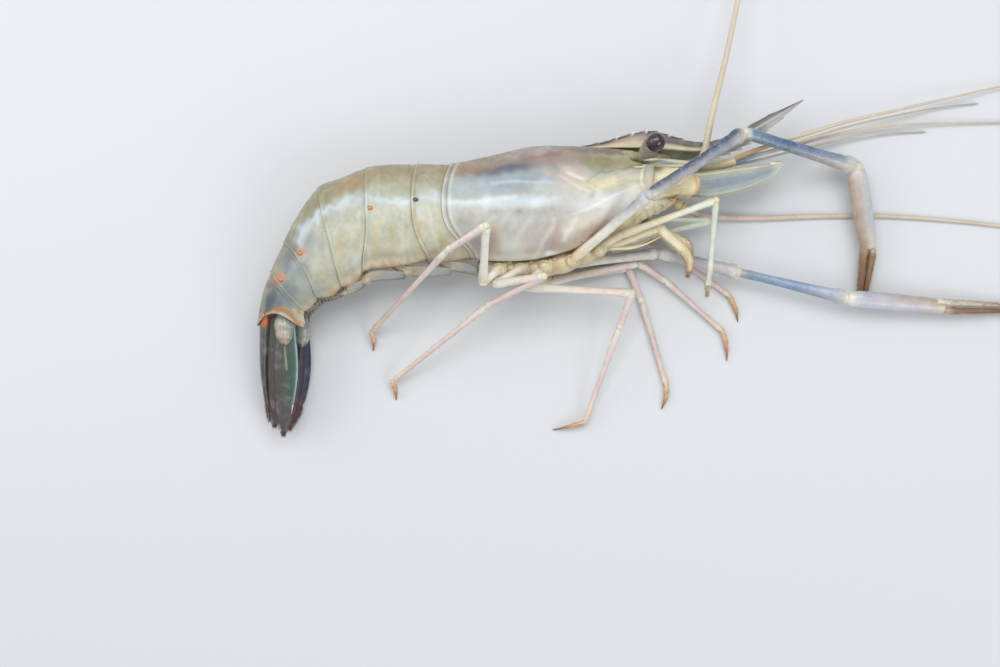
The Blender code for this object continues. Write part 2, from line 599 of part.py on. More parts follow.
def tube(name, path, radii, look, look_name):
    """A round feeler: a curve with a radius at each point, made a mesh with its caps welded."""
    curve = bpy.data.curves.new(name, "CURVE")
    curve.dimensions = "3D"
    curve.bevel_depth = MM
    curve.bevel_resolution = 1
    curve.use_fill_caps = True
    line = curve.splines.new("POLY")
    line.points.add(len(path) - 1)
    for point, at, radius in zip(line.points, place(path), radii):
        point.co = (*at, 1.0)
        point.radius = radius
    source = bpy.data.objects.new(name + " line", curve)
    prawn.objects.link(source)
    graph = bpy.context.evaluated_depsgraph_get()
    mesh = bpy.data.meshes.new_from_object(source.evaluated_get(graph))
    bpy.data.objects.remove(source)
    mesh.materials.clear()
    made = add_object(name, mesh, look, look_name)
    shape = bmesh.new()
    shape.from_mesh(mesh)
    bmesh.ops.remove_doubles(shape, verts=shape.verts, dist=0.02 * MM)
    bmesh.ops.recalc_face_normals(shape, faces=shape.faces)
    shape.to_mesh(mesh)
    shape.free()
    return made


def make_feeler(name, root):
    keys, root_radius = FEELERS[name]
    at = np.linspace(0, len(keys) - 1, FEELER_STEPS * (len(keys) - 1) + 1)
    path = spline(keys, at)
    share = at / at[-1]
    radii = FEELER_TIP + (root_radius - FEELER_TIP) * (1 - share) ** 1.3
    path[:, 2] = np.maximum(path[:, 2], radii * 0.9)
    made = tube(name, path, radii, FEELER, "feeler")
    cut_clear(made, root)
    rest_on_floor(made)
    return made


def make_antennae(carapace, eyestalks):
    for side in ("right", "left"):
        keys = [side_of(p, side) for p in ANTENNULE]
        at = np.linspace(0, len(keys) - 1, 2 * (len(keys) - 1) + 1)
        radii = np.interp(at, range(len(keys)), ANTENNULE_RADII) * (1 + 0.07 * np.cos(2 * math.pi * at))
        rings = sweep(spline(keys, at), radii, radii * 0.92, 10)
        antennule = skin("antennule_base_" + side, rings, CREAM, "cream")
        cut_clear(antennule, carapace, eyestalks[side])
        for which in ("outer", "inner"):
            make_feeler(f"antennule_{which}_{side}", antennule)

        keys = [side_of(p, side) for p in ANTENNA_BASE]
        at = np.linspace(0, len(keys) - 1, 8)
        radii = np.interp(at, range(len(keys)), ANTENNA_BASE_RADII)
        base = skin("antenna_base_" + side, sweep(spline(keys, at), radii, radii * 0.72, 12), CREAM, "cream")
        stalk_path = spline(STALKS[side], np.linspace(0, 2, 6))
        stalk = skin("stalk", sweep(stalk_path, STALK_RADIUS, STALK_RADIUS, 10), CREAM, "cream")
        union(base, [stalk])
        cut_clear(base, antennule, carapace)
        cut_clear(base, carapace, ahead=GAP)
        make_feeler("antenna_" + side, base)
        make_antenna_scale(side, base, antennule)


def leaf(name, path, half_widths, thickness, across, look, look_name, sides=10):
    """A thin pointed blade: a flat ellipse carried along a path, with a low rib down each face."""
    along, _, _ = path_frames(path)
    across = np.asarray(across, float)
    across = across - along * np.sum(across * along, axis=1)[:, None]
    across /= np.linalg.norm(across, axis=1)[:, None]
    normal = np.cross(along, across)
    angle = np.arange(sides) * 2 * math.pi / sides
    half = thickness / 2
    flat = half * np.sign(np.sin(angle)) * np.abs(np.sin(angle)) ** 0.5
    rib = RIB_HEIGHT * np.exp(-(np.cos(angle) / 0.22) ** 2) * np.sign(np.sin(angle))
    widths = np.asarray(half_widths, float)
    fade = np.clip(widths / widths.max(), 0.3, 1.0)
    rings = (np.asarray(path)[:, None] + across[:, None] * (widths[:, None] * np.cos(angle))[..., None]
             + normal[:, None] * (fade[:, None] * (flat + rib))[..., None])
    return skin(name, rings, look, look_name)


def make_antenna_scale(side, base, antennule):
    """The broad blade beside each antenna: a straight stiff edge above and a rounded one below."""
    outward = 1.0 if side == "right" else -1.0
    share = np.linspace(0, 1, 9)
    edge = np.array([side_of(p, side) for p in SCALE_EDGE])
    edge = edge[0] + (edge[1] - edge[0]) * share[:, None] / 0.9
    widths = SCALE_WIDTH * np.interp(share, *np.transpose(SCALE_OUTLINE))
    across = np.array((-0.06, math.cos(SCALE_TILT), outward * math.sin(SCALE_TILT)))
    path = edge - across * widths[:, None] / 2
    scale = leaf("antenna_scale_" + side, path, widths / 2, BLADE_THICKNESS, across, CREAM, "cream", 10)
    return cut_clear(scale, base, antennule)


def make_thorax_floor(carapace, ring):
    """The underside between the shell's lower edges, with the stubs that carry the limbs."""
    keys = np.array(THORAX_FLOOR)
    path_and_size = spline(keys, np.linspace(0, len(keys) - 1, 15))
    path, half_high, half_wide = path_and_size[:, :3], path_and_size[:, 3], path_and_size[:, 4]
    floor = skin("thorax_floor", sweep(path, half_high, half_wide, 14), CREAM, "cream")
    stubs = []
    for number, (x, y) in COXAE.items():
        for sign in (1, -1):
            inner = (x + 0.5, y + 1.4, BODY_Z + sign * 2.0)
            outer = (x - 0.3, y - 0.9, BODY_Z + sign * (COXA_SPREAD + 1.2))
            stubs.append(segment("coxa", inner, outer, COXA_RADIUS, COXA_RADIUS * 0.95, CREAM, "cream"))
    union(floor, stubs)
    cut_clear(floor, carapace, ring)
    return floor


def make_mouthparts(carapace, floor):
    """The jaws and inner mouthparts, packed together under the front of the head."""
    path_and_size = np.array(JAWS)
    rings = sweep(path_and_size[:, :3], path_and_size[:, 3], path_and_size[:, 4], 12)
    jaws = skin("mouthparts", rings, CREAM, "cream")
    return cut_clear(jaws, carapace, floor)


def make_maxillipeds(floor, jaws):
    for side, joints in MAXILLIPEDS.items():
        parts = [segment("part", a, b, ra, rb, CREAM, "cream")
                 for a, b, ra, rb in zip(joints[:2], joints[1:3], MAXILLIPED_RADII, MAXILLIPED_RADII[1:])]
        radius = MAXILLIPED_RADII[2]
        last = talon("part", joints[2], joints[3], radius, CREAM, "cream", (1.6, 0.6, 0.8), tip=0.7)
        limb = parts[0]
        limb.name = "maxilliped_" + side
        union(limb, [*parts[1:], last])
        cut_clear(limb, floor, jaws)


def make_leg(name, floor):
    joints = LEGS[name]
    pincers = name in PINCER_REACH
    radii = PINCER_RADII if pincers else WALKING_RADII
    look, look_name = (PALE_GREEN, "pale green") if pincers else (PINK, "pink")
    last = len(joints) - (1 if pincers else 2)
    parts = [segment("part", joints[i], joints[i + 1], radii[i], radii[i + 1], look, look_name)
             for i in range(last)]
    if pincers:
        reach = np.array(PINCER_REACH[name])
        hand = np.array(joints[-1])
        spread = unit(np.cross(reach, (0.0, 0.0, 1.0))) * PINCER_RADIUS * 0.42
        parts.append(segment("part", hand, hand + reach * 0.55, radii[3], PINCER_RADIUS, look, look_name))
        for sign in (1, -1):
            parts.append(talon("part", hand + reach * 0.5 + sign * spread, hand + reach + sign * spread * 0.45,
                               PINCER_RADIUS * 0.6, look, look_name))
    else:
        side_bow = (0.6, 0.0, 0.9) if name.endswith("right") else (0.6, 0.0, 0.3)
        parts.append(talon("part", joints[-2], joints[-1], radii[-1], look, look_name, side_bow))
    leg = parts[0]
    leg.name = name
    union(leg, parts[1:])
    cut_clear(leg, floor)
    rest_on_floor(leg)


def make_claw(side, floor, carapace):
    """Arm, wrist, palm with its fixed finger, and the moving finger, closed on each other."""
    shoulder, ischium, elbow, wrist, knuckle, tip = (np.array(p) for p in CLAWS[side])
    root, r_ischium, r_elbow, r_root, r_wrist, r_palm, r_knuckle = CLAW_RADII[side]
    upper = segment("part", ischium, elbow, r_ischium, r_elbow, BLUE, "blue", 10)
    arm = segment("claw_arm_" + side, shoulder, ischium, root, r_ischium, BLUE, "blue", 10)
    union(arm, [upper])
    cut_clear(arm, floor, carapace)
    carpus = segment("claw_wrist_" + side, elbow, wrist, r_root, r_wrist, BLUE, "blue", 10)
    cut_clear(carpus, arm)
    rest_on_floor(carpus)
    share = np.array((0.0, 0.05, 0.15, 0.45, 0.8, 1.0))
    palm_path = wrist + (knuckle - wrist) * share[:, None]
    radii = r_palm * np.array((0.5, 0.82, 0.97, 1.0, 0.9, r_knuckle / r_palm * 0.86))
    palm = skin("claw_palm_" + side, sweep(palm_path, radii, radii * 0.86, 12), PALM, "palm")
    reach = tip - knuckle
    out = unit(np.cross(reach, (0.0, 0.0, 1.0))) * r_knuckle
    fixed_side = 1.0 if side == "right" else -1.0
    share = np.linspace(-0.12, 1.0, 8)
    narrow = np.interp(share, (-0.12, 0.0, 0.5, 0.9, 1.0), (0.5, 0.46, 0.36, 0.24, 0.1)) * r_knuckle
    fingers = []
    for sign in (fixed_side, -fixed_side):
        offset = (narrow + 0.5 * GAP + 0.06)[:, None] * unit(out) * sign
        path = knuckle + reach * share[:, None] + offset
        if sign != fixed_side:
            path, breadth = path[1:], narrow[1:]
        else:
            breadth = narrow
        fingers.append(skin("finger", sweep(path, breadth, breadth * 1.5, 8), FINGER, "finger"))
    union(palm, [fingers[0]])
    cut_clear(palm, carpus)
    rest_on_floor(palm)
    fingers[1].name = "claw_finger_" + side
    cut_clear(fingers[1], palm)
    rest_on_floor(fingers[1])


def make_tail(last_ring):
    at = np.linspace(0, 2, 6)
    wide, thick = (np.interp(at, range(3), r) for r in (TELSON_HALF_WIDTHS, TELSON_HALF_THICKNESSES))
    telson = skin("telson", sweep(spline(TELSON, at), thick, wide, 12), TAIL, "tail")
    cut_clear(telson, last_ring)
    for name, (keys, widths, tilt) in BLADES.items():
        at = np.linspace(0, len(keys) - 1, 9)
        half_widths = spline(np.array(widths)[:, None], at)[:, 0]
        blade = leaf(name, spline(keys, at), half_widths, BLADE_THICKNESS, (1.0, 0.0, tilt), TAIL, "tail", 12)
        if name in BLADE_STUBS:
            union(blade, [pod("part", *BLADE_STUBS[name], TAIL, "tail")])
        cut_clear(blade, last_ring)
        rest_on_floor(blade)


def belly_point(at, drop, across):
    """A point a distance below the hollow underside, out from the middle plane."""
    middle, half, _, height = trunk_station(np.asarray(at, float))
    tall = np.linalg.norm(half, axis=-1)[..., None]
    flat = middle - half / tall * (tall - BELLY_HOLLOW + np.asarray(drop, float)[..., None])
    return np.concatenate([flat, (height + across)[..., None]], axis=-1)


def make_swimmerets(rings):
    place_along, fall, high, wide = np.array(SWIMMERET_SHAPE).T
    for number, (start, end, drop) in SWIMMERETS.items():
        for side, sign in (("right", 1), ("left", -1)):
            path = belly_point(start + (end - start) * place_along, fall * drop, sign * SWIMMERET_SPREAD)
            limb = skin(f"swimmeret_{number}_{side}", sweep(path, high, wide, 8), CREAM, "cream")
            near = [rings[f"abdomen_{n}"] for n in range(max(number - 1, 1), number + 2)]
            cut_clear(limb, *near)


clear_scene()
prawn = bpy.data.collections.new("giant_river_prawn")
bpy.context.scene.collection.children.link(prawn)
plates = make_trunk()
make_rostrum(plates["carapace"])
stalks_of_eyes = make_eyes(plates["carapace"])
make_antennae(plates["carapace"], stalks_of_eyes)
thorax = make_thorax_floor(plates["carapace"], plates["abdomen_1"])
mouth = make_mouthparts(plates["carapace"], thorax)
make_maxillipeds(thorax, mouth)
for leg_name in LEGS:
    make_leg(leg_name, thorax)
for claw_side in CLAWS:
    make_claw(claw_side, thorax, plates["carapace"])
make_tail(plates["abdomen_6"])
make_swimmerets(plates)
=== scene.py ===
"""The looks of a giant river prawn that lies on its left side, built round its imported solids.

Places are in millimetres, as in the part's own source: from a point under the third pair of legs,
X towards the head, Y towards the back, Z up from the floor. The right side is uppermost, and the
plane of symmetry of the head lies level at BODY_Z. Each surface is a grid worked out with numpy.
"""

import math

import bpy
import numpy as np
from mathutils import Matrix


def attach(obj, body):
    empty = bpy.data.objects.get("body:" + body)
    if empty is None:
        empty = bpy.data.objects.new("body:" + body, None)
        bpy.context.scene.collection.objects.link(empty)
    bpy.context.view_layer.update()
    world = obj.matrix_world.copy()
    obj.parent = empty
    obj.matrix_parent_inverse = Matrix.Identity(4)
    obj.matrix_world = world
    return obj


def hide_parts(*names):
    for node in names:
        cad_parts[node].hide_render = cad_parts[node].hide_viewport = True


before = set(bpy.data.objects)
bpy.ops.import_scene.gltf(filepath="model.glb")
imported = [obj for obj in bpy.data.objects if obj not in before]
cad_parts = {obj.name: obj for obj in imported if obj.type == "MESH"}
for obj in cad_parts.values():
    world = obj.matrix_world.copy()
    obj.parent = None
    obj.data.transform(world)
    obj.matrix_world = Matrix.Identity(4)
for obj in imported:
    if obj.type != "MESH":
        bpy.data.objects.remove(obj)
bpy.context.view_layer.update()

MM = 0.001
MIDDLE = np.array((105.03, 95.86, 0.0))  # the middle of the outline, which is the model's origin
BODY_Z = 19.0
TURN = 2 * math.pi
PATCH = 0.003  # the size of a bristle's patch on its bake map
CARRIED_ON = {"mode": "reflect", "reflect_type": "odd"}  # how np.pad carries a line on past its ends
SIGNS = {"right": 1, "left": -1}  # which way each side lies along Z
DRAWING_UNIT = 0.38  # mm at the floor
DRAWING_MIDDLE = (500, 333.5)
VIEW_HEIGHT = 600.0  # mm above the floor

# The trunk's stations: the back's X and Y, the lower edge's X and Y, half the width, and the height of the
# middle plane.
TRUNK = np.array([
    (55.9, 66.4, 55.9, 53.0, 9.0, 19.0), (49.7, 67.3, 49.7, 45.6, 13.0, 19.0),
    (38.6, 68.3, 38.6, 35.2, 16.5, 19.0), (25.8, 69.0, 26.5, 28.6, 18.4, 19.0),
    (11.0, 68.6, 12.1, 24.9, 19.2, 19.0), (-3.7, 65.2, -1.8, 24.6, 18.8, 18.7),
    (-17.7, 62.5, -13.3, 26.4, 17.8, 17.8), (-30.3, 62.4, -26.6, 25.2, 17.5, 17.4),
    (-39.8, 62.3, -36.5, 24.2, 17.6, 17.5), (-49.1, 61.1, -46.5, 22.8, 17.4, 17.3),
    (-58.7, 57.4, -51.9, 18.6, 16.8, 16.7), (-67.3, 53.8, -56.8, 15.7, 16.0, 15.9),
    (-74.8, 43.9, -60.9, 13.6, 14.5, 14.9), (-80.2, 33.6, -66.4, 12.0, 13.0, 14.0),
    (-85.2, 22.9, -71.6, 7.6, 11.0, 12.5), (-88.7, 14.0, -72.3, 4.5, 9.5, 11.5),
    (-90.4, 2.8, -72.1, 1.0, 8.5, 10.5),
])
# Where each shell plate ends, in stations, at the back, the flank and the lower edge.
EDGES = {
    "head": (1.3, 0.05, 0.15), "carapace": (6.0, 6.4, 5.75), "abdomen_1": (7.0, 7.3, 6.95),
    "abdomen_2": (9.0, 9.05, 9.5), "abdomen_3": (11.0, 11.0, 11.1), "abdomen_4": (13.0, 12.75, 13.0),
    "abdomen_5": (14.0, 14.05, 14.0), "abdomen_6": (16.0, 15.35, 15.7),
}
ORBIT = (math.radians(48), math.radians(84))
EDGE_ANGLE = math.radians(150)
BELLY_HOLLOW = 5.5


def spline(keys, at):
    """A smooth curve through the rows of keys, read at positions counted in rows (Catmull-Rom)."""
    keys = np.asarray(keys, float)
    ends = np.vstack([2 * keys[0] - keys[1], keys, 2 * keys[-1] - keys[-2]])
    at = np.asarray(at, float)
    row = np.clip(np.floor(at).astype(int), 0, len(keys) - 2)
    t = (at - row)[..., None]
    a, b, c, d = ends[row], ends[row + 1], ends[row + 2], ends[row + 3]
    return 0.5 * (2 * b + (c - a) * t + (2 * a - 5 * b + 4 * c - d) * t**2 + (3 * b - a - 3 * c + d) * t**3)


def curve(keys, count):
    """That many points of the smooth curve through the keys."""
    return spline(keys, np.linspace(0, len(keys) - 1, count))


def ease(t):
    """A smooth step: 3 t squared less 2 t cubed, held at 0 and 1."""
    t = np.clip(t, 0.0, 1.0)
    return t * t * (3 - 2 * t)


def hill(distance, width):
    """A bell curve: e to the power of minus the square of distance over width."""
    return np.exp(-(np.asarray(distance) / width) ** 2)


def dome(past, reach, least=0.0):
    """The round end of a form, as a share of its radius: the root of 1 less the square of past over reach."""
    return np.sqrt(np.clip(1 - (np.clip(past, 0, None) / reach) ** 2, least, 1))


def around(sides):
    """Angles in even steps round a section."""
    return np.arange(sides) * TURN / sides


def from_back(angle):
    """How far an angle round the trunk lies from the back, on either side."""
    return np.abs(np.arctan2(np.sin(angle), np.cos(angle)))


def smoothed(values, reach, **ends):
    """Each value as the mean of its neighbours within reach, with the ends padded as np.pad is told."""
    count = 2 * reach + 1
    return np.convolve(np.pad(values, reach, **ends), np.ones(count) / count, "valid")


def unit(vectors):
    """Vectors brought to a length of 1."""
    return vectors / np.linalg.norm(vectors, axis=-1, keepdims=True)


def side_of(points, side):
    """Points of the right side, or their mirror images in the plane of symmetry."""
    points = np.array(points, float)
    if side == "left":
        points[..., 2] = 2 * BODY_Z - points[..., 2]
    return points


def tone(*rgb):
    """A screen colour of 0 to 255 as the linear light that a shader reads."""
    share = np.array(rgb) / 255
    return np.where(share <= 0.04045, share / 12.92, ((share + 0.055) / 1.055) ** 2.4)


def linear(colour):
    """A colour as linear light: a tuple is a screen colour, and anything else is linear already."""
    return tone(*colour) if isinstance(colour, tuple) else colour


def fade(at, *stops):
    """Colours along a scale: each stop is a place and a colour, blended smoothly between."""
    places, colours = [s[0] for s in stops], np.array([linear(s[1]) for s in stops])
    at = np.asarray(at, float)
    row = np.clip(np.searchsorted(places, at, side="right") - 1, 0, len(places) - 2)
    low, high = np.array(places)[row], np.array(places)[row + 1]
    return colours[row] + (colours[row + 1] - colours[row]) * ease((at - low) / (high - low))[..., None]


def bands(at, sides, *stops):
    """Colours that change along a form by a scale, and are the same all round its sides."""
    return np.repeat(fade(at, *stops)[:, None], sides, axis=1)


def paint(tint, mask, colour):
    """The tint moved towards a colour by the mask."""
    return tint + (linear(colour) - tint) * np.clip(mask, 0, 1)[..., None]


def on_floor(grid):
    """What would reach below the floor is flattened onto it."""
    grid = np.array(grid)
    grid[..., 2] = np.maximum(grid[..., 2], 0.0)
    return grid


def drawn(points):
    """Where points show on a drawing of the animal's right side, and the left side's at their mirror image.

    The drawing's unit is given at the floor, and its size falls with height as from the view's height.
    """
    points = np.asarray(points, float)
    size = DRAWING_UNIT * (1 - (BODY_Z + np.abs(points[..., 2] - BODY_Z)) / VIEW_HEIGHT)
    x, y = DRAWING_MIDDLE
    return np.stack([x + points[..., 0] / size, y - points[..., 1] / size], axis=-1)


def wander(places, reach, size, seed=5, spread=None):
    """Shifts each place by a few crossing waves, so that what is painted there gets an uneven edge.

    The waves run over spread where it is given, else over the places themselves.
    """
    spread = places if spread is None else spread
    dice = np.random.default_rng(seed)
    shift = np.zeros_like(places)
    for _ in range(9):
        turn, start, wave = dice.uniform(0, TURN), dice.uniform(0, TURN, 2), size * dice.uniform(0.6, 1.9)
        run = (spread[..., 0] * math.cos(turn) + spread[..., 1] * math.sin(turn)) * TURN / wave
        shift += np.stack([np.sin(run + start[0]), np.sin(run + start[1])], axis=-1) / 3
    return places + reach * shift


def cloud(places, size, seed):
    """Soft patches from 0 to 1 over the drawing, from crossing waves that are themselves bent."""
    moved = wander(wander(places, size * 0.3, size * 1.7, seed), size * 0.16, size * 0.6, seed + 1)
    lift = (wander(moved, 1.0, size, seed + 2) - moved).sum(-1)
    return ease(0.5 + 0.45 * lift)


def stroke(places, line, width):
    """A brush stroke along a smooth line: a bell curve of the distance from it."""
    line = curve(line, 6 * len(line)) if len(line) > 2 else np.asarray(line, float)
    nearest = np.full(places.shape[:-1], 1e9)
    for a, b in zip(line, line[1:]):
        share = np.clip((places - a) @ (b - a) / ((b - a) @ (b - a)), 0, 1)
        nearest = np.minimum(nearest, np.linalg.norm(places - a - share[..., None] * (b - a), axis=-1))
    return hill(nearest, width)


def dab(places, x, y, wide, high, lean=0.0):
    """An oval dab of the brush, leaning by some degrees, soft at its rim."""
    turn = math.radians(lean)
    across, up = places[..., 0] - x, places[..., 1] - y
    along = across * math.cos(turn) + up * math.sin(turn)
    athwart = up * math.cos(turn) - across * math.sin(turn)
    return np.exp(-(((along / wide) ** 2 + (athwart / high) ** 2) ** 1.4))


def marked(tint, places, marks):
    """The tint with a table's marks painted over it in turn, each a dab or a stroke."""
    for strength, where, size, colour in marks:
        mask = dab(places, *where, *size) if np.ndim(where) == 1 else stroke(places, where, size)
        tint = paint(tint, strength * mask, colour)
    return tint


# Screen colours of the animal's parts.
OLIVE = tone(128, 124, 96)
OLIVE_DARK = tone(92, 90, 70)
ROSE = tone(160, 142, 136)
TAN = tone(186, 152, 112)
CREAM = tone(216, 208, 178)
IVORY = tone(226, 224, 212)
BROWN = tone(76, 54, 38)
BLACK = tone(26, 22, 22)
STEEL = tone(104, 132, 168)
PALE_BLUE = tone(168, 186, 206)
MINT = tone(196, 212, 202)
TAIL_GREY = tone(72, 74, 76)


class Form:
    """Closed surfaces gathered into one mesh, each point with its tint and its lie along the form."""

    def __init__(self):
        """Starts empty."""
        self.points, self.quads, self.threes, self.tints, self.lies, self.spots = [], [], [], [], [], []
        self.count, self.coat = 0, False

    def add(self, grid, tint, along=None, ends=(None, None), pieces=False, spots=None):
        """Adds a grid of rows and columns, closed round its columns, with a fan over each end.

        With pieces, the first axis counts separate like surfaces. Faces are turned to point outwards.
        spots gives each piece's root on an unwrap of the skin, where its own small patch is laid.
        """
        grid, tint = np.asarray(grid, float), linear(tint)
        grid = grid if pieces else grid[None]
        number, rows, sides = grid.shape[:3]
        tint = np.broadcast_to(tint if pieces or np.ndim(tint) < 2 else np.asarray(tint)[None], grid.shape)
        if along is None:
            steps = np.linalg.norm(np.diff(grid.mean(2), axis=1), axis=-1)
            along = np.concatenate([np.zeros((number, 1)), np.cumsum(steps, axis=1)], axis=1)
        along = np.broadcast_to(np.asarray(along, float).reshape(-1, rows, 1), (number, rows, sides))
        angle = np.broadcast_to(around(sides), along.shape)
        lie = np.stack([along, np.cos(angle), np.sin(angle)], axis=-1)
        caps = [grid[:, row].mean(1) if end is None else np.broadcast_to(end, (number, 3))
                for row, end in zip((0, -1), ends)]
        points = np.concatenate([grid.reshape(number, -1, 3), *[c[:, None] for c in caps]], axis=1)
        tints = np.concatenate([tint.reshape(number, -1, 3), tint[:, 0].mean(1)[:, None],
                                tint[:, -1].mean(1)[:, None]], axis=1)
        lies = np.concatenate([lie.reshape(number, -1, 3), lie[:, :1, 0], lie[:, -1:, 0]], axis=1)
        index = np.arange(rows * sides).reshape(rows, sides)
        after = np.roll(index, -1, axis=1)
        quads = np.stack([index[:-1], after[:-1], after[1:], index[1:]], axis=-1).reshape(-1, 4)
        first, last = rows * sides, rows * sides + 1
        threes = np.concatenate([
            np.stack([after[0], index[0], np.full(sides, first)], axis=-1),
            np.stack([index[-1], after[-1], np.full(sides, last)], axis=-1),
        ])
        corners = points[0][np.concatenate([threes, quads[:, :3], quads[:, [0, 2, 3]]])] - points[0].mean(0)
        if np.einsum("ij,ij->", corners[:, 0], np.cross(corners[:, 1], corners[:, 2])) < 0:
            quads, threes = quads[:, ::-1], threes[:, ::-1]
        shift = self.count + np.arange(number)[:, None, None] * (rows * sides + 2)
        self.quads.append((quads + shift).reshape(-1, 4))
        self.threes.append((threes + shift).reshape(-1, 3))
        self.points.append(points.reshape(-1, 3))
        self.tints.append(tints.reshape(-1, 3))
        self.lies.append(lies.reshape(-1, 3))
        self.coat = self.coat or spots is not None
        spots = np.zeros((number, 2)) if spots is None else np.asarray(spots) * 0.99
        patch = np.stack([np.tile(np.arange(sides) / sides, rows), np.repeat(np.arange(rows) / rows, sides)],
                         axis=-1)
        patch = np.concatenate([patch, [(0.5, 0.0), (0.5, 1.0)]]) * PATCH
        self.spots.append((spots[:, None] + patch).reshape(-1, 2))
        self.count += number * (rows * sides + 2)
        return self

    def make(self, name, finish, slot, *nodes):
        """Puts the gathered surfaces into one mesh object that rides on the body."""
        mesh = bpy.data.meshes.new(name)
        points = (np.concatenate(self.points) - MIDDLE) * MM
        quads, threes = np.concatenate(self.quads), np.concatenate(self.threes)
        mesh.vertices.add(len(points))
        mesh.vertices.foreach_set("co", points.astype(np.float32).ravel())
        mesh.loops.add(quads.size + threes.size)
        corners = np.concatenate([quads.ravel(), threes.ravel()])
        mesh.loops.foreach_set("vertex_index", corners.astype(np.int32))
        mesh.polygons.add(len(quads) + len(threes))
        starts = np.concatenate([np.arange(len(quads)) * 4, quads.size + np.arange(len(threes)) * 3])
        mesh.polygons.foreach_set("loop_start", starts.astype(np.int32))
        mesh.update(calc_edges=True)
        mesh.shade_smooth()
        tints = np.concatenate(self.tints)
        tints = np.concatenate([tints, np.ones((len(tints), 1))], axis=1)
        tints = tints.astype(np.float32).ravel()
        mesh.attributes.new("tint", "FLOAT_COLOR", "POINT").data.foreach_set("color", tints)
        lies = np.concatenate(self.lies).astype(np.float32).ravel()
        mesh.attributes.new("lie", "FLOAT_VECTOR", "POINT").data.foreach_set("vector", lies)
        if self.coat:
            patches = np.concatenate(self.spots)[corners].astype(np.float32)
            mesh.uv_layers.new(name="OFBake").data.foreach_set("uv", patches.ravel())
        mesh.materials.append(finish)
        made = bpy.data.objects.new(name, mesh)
        bpy.context.scene.collection.objects.link(made)
        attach(made, "root")
        if nodes:
            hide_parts(*nodes)
        return made


def frames_of(path, up=(0.0, 0.0, 1.0)):
    """Directions along a path, across it, and up from it, turning as little as they can."""
    along = unit(np.gradient(np.asarray(path, float), axis=0))
    upward = np.asarray(up, float)
    ups = []
    for direction in along:
        upward = unit(upward - direction * (upward @ direction))
        ups.append(upward)
    ups = np.array(ups)
    return along, np.cross(along, ups), ups


def sweep(path, wide, high, sides, up=(0.0, 0.0, 1.0)):
    """An ellipse carried along a path: the path plus across times wide cosine, plus up times high sine."""
    path = np.asarray(path, float)
    _, across, ups = frames_of(path, up)
    angle = around(sides)
    wide, high = (np.broadcast_to(np.asarray(r, float), (len(path), sides) if np.ndim(r) == 2 else len(path))
                  for r in (wide, high))
    wide, high = (r if r.ndim == 2 else np.repeat(r[:, None], sides, axis=1) for r in (wide, high))
    return (path[:, None] + across[:, None] * (wide * np.cos(angle))[..., None]
            + ups[:, None] * (high * np.sin(angle))[..., None])


def ball(centre, radii, turns=40, rows=24, axis=(1.0, 0.0, 0.0), up=(0.0, 0.0, 1.0)):
    """An ellipsoid as a grid: a circle whose radius is the sine of the latitude, carried along its axis."""
    latitude = (np.arange(rows) + 0.5) * math.pi / rows
    axis, up = unit(np.array(axis, float)), np.array(up, float)
    path = np.asarray(centre) - axis * (np.cos(latitude) * radii[0])[:, None]
    return sweep(path, radii[1] * np.sin(latitude), radii[2] * np.sin(latitude), turns, up)


def cones(roots, heads, lengths, radii, bend=None, rows=5, sides=4, tip=0.06):
    """Many thin tapering spikes as one array: each a small ring carried from root to tip along a bent line.

    The line is root plus head times length times s, plus bend times s squared. The radius falls to a
    small share at the tip.
    """
    s = np.linspace(0, 1, rows)
    heads = unit(np.asarray(heads, float))
    number = len(heads)
    lengths = np.broadcast_to(lengths, number)[:, None, None]
    line = np.asarray(roots)[:, None] + heads[:, None] * lengths * s[:, None]
    if bend is not None:
        line = line + np.broadcast_to(bend, (number, 3))[:, None] * (s**2)[:, None]
    side = unit(np.cross(heads, np.where(np.abs(heads[:, 2:]) < 0.9, (0.0, 0.0, 1.0), (1.0, 0.0, 0.0))))
    other = np.cross(heads, side)
    angle = around(sides)
    ring = side[:, None] * np.cos(angle)[:, None] + other[:, None] * np.sin(angle)[:, None]
    taper = tip + (1 - tip) * (1 - s) ** 0.8
    size = np.broadcast_to(radii, number)[:, None, None, None] * taper[:, None, None]
    return line[:, :, None] + ring[:, None] * size


def station(at):
    """At a place along the trunk: its middle, the vector up to the back, half the width and the height."""
    values = spline(TRUNK, at)
    back, edge = values[..., 0:2], values[..., 2:4]
    return (back + edge) / 2, (back - edge) / 2, values[..., 4], values[..., 5]


def trunk_point(at, angle, grow=0.0, hollow=BELLY_HOLLOW, drop=0.0):
    """A point of the trunk, egg-shaped in section: at in stations, angle from the back, grow outwards."""
    middle, half, width, height = station(at)
    tall = np.linalg.norm(half, axis=-1)
    up = half / tall[..., None]
    cosine, sine = np.cos(angle), np.sin(angle)
    turned = from_back(angle)
    rise = np.where(cosine > 0, cosine, -np.abs(cosine) ** 0.72) * (tall + grow)
    rise = rise + hollow * ease((turned - EDGE_ANGLE) / (math.pi - EDGE_ANGLE)) - drop
    reach = np.sign(sine) * np.abs(sine) ** 0.9 * (1 - 0.1 * cosine) * (width + grow)
    flat = middle + up * rise[..., None]
    return np.concatenate([flat, (height + reach)[..., None]], axis=-1)


def edge_places(name, angle):
    """Where a plate's edge lies along the trunk at each angle round it."""
    back, flank, lower = EDGES[name]
    turned = from_back(angle)
    turns = ORBIT if name == "head" else (0.0, math.pi / 2)
    upper_part = back + (flank - back) * ease((turned - turns[0]) / (turns[1] - turns[0]))
    return upper_part + (lower - flank) * ease((turned - math.pi / 2) / (EDGE_ANGLE - math.pi / 2))


# Materials. Shared effects are node groups; each material sets its own values on them.


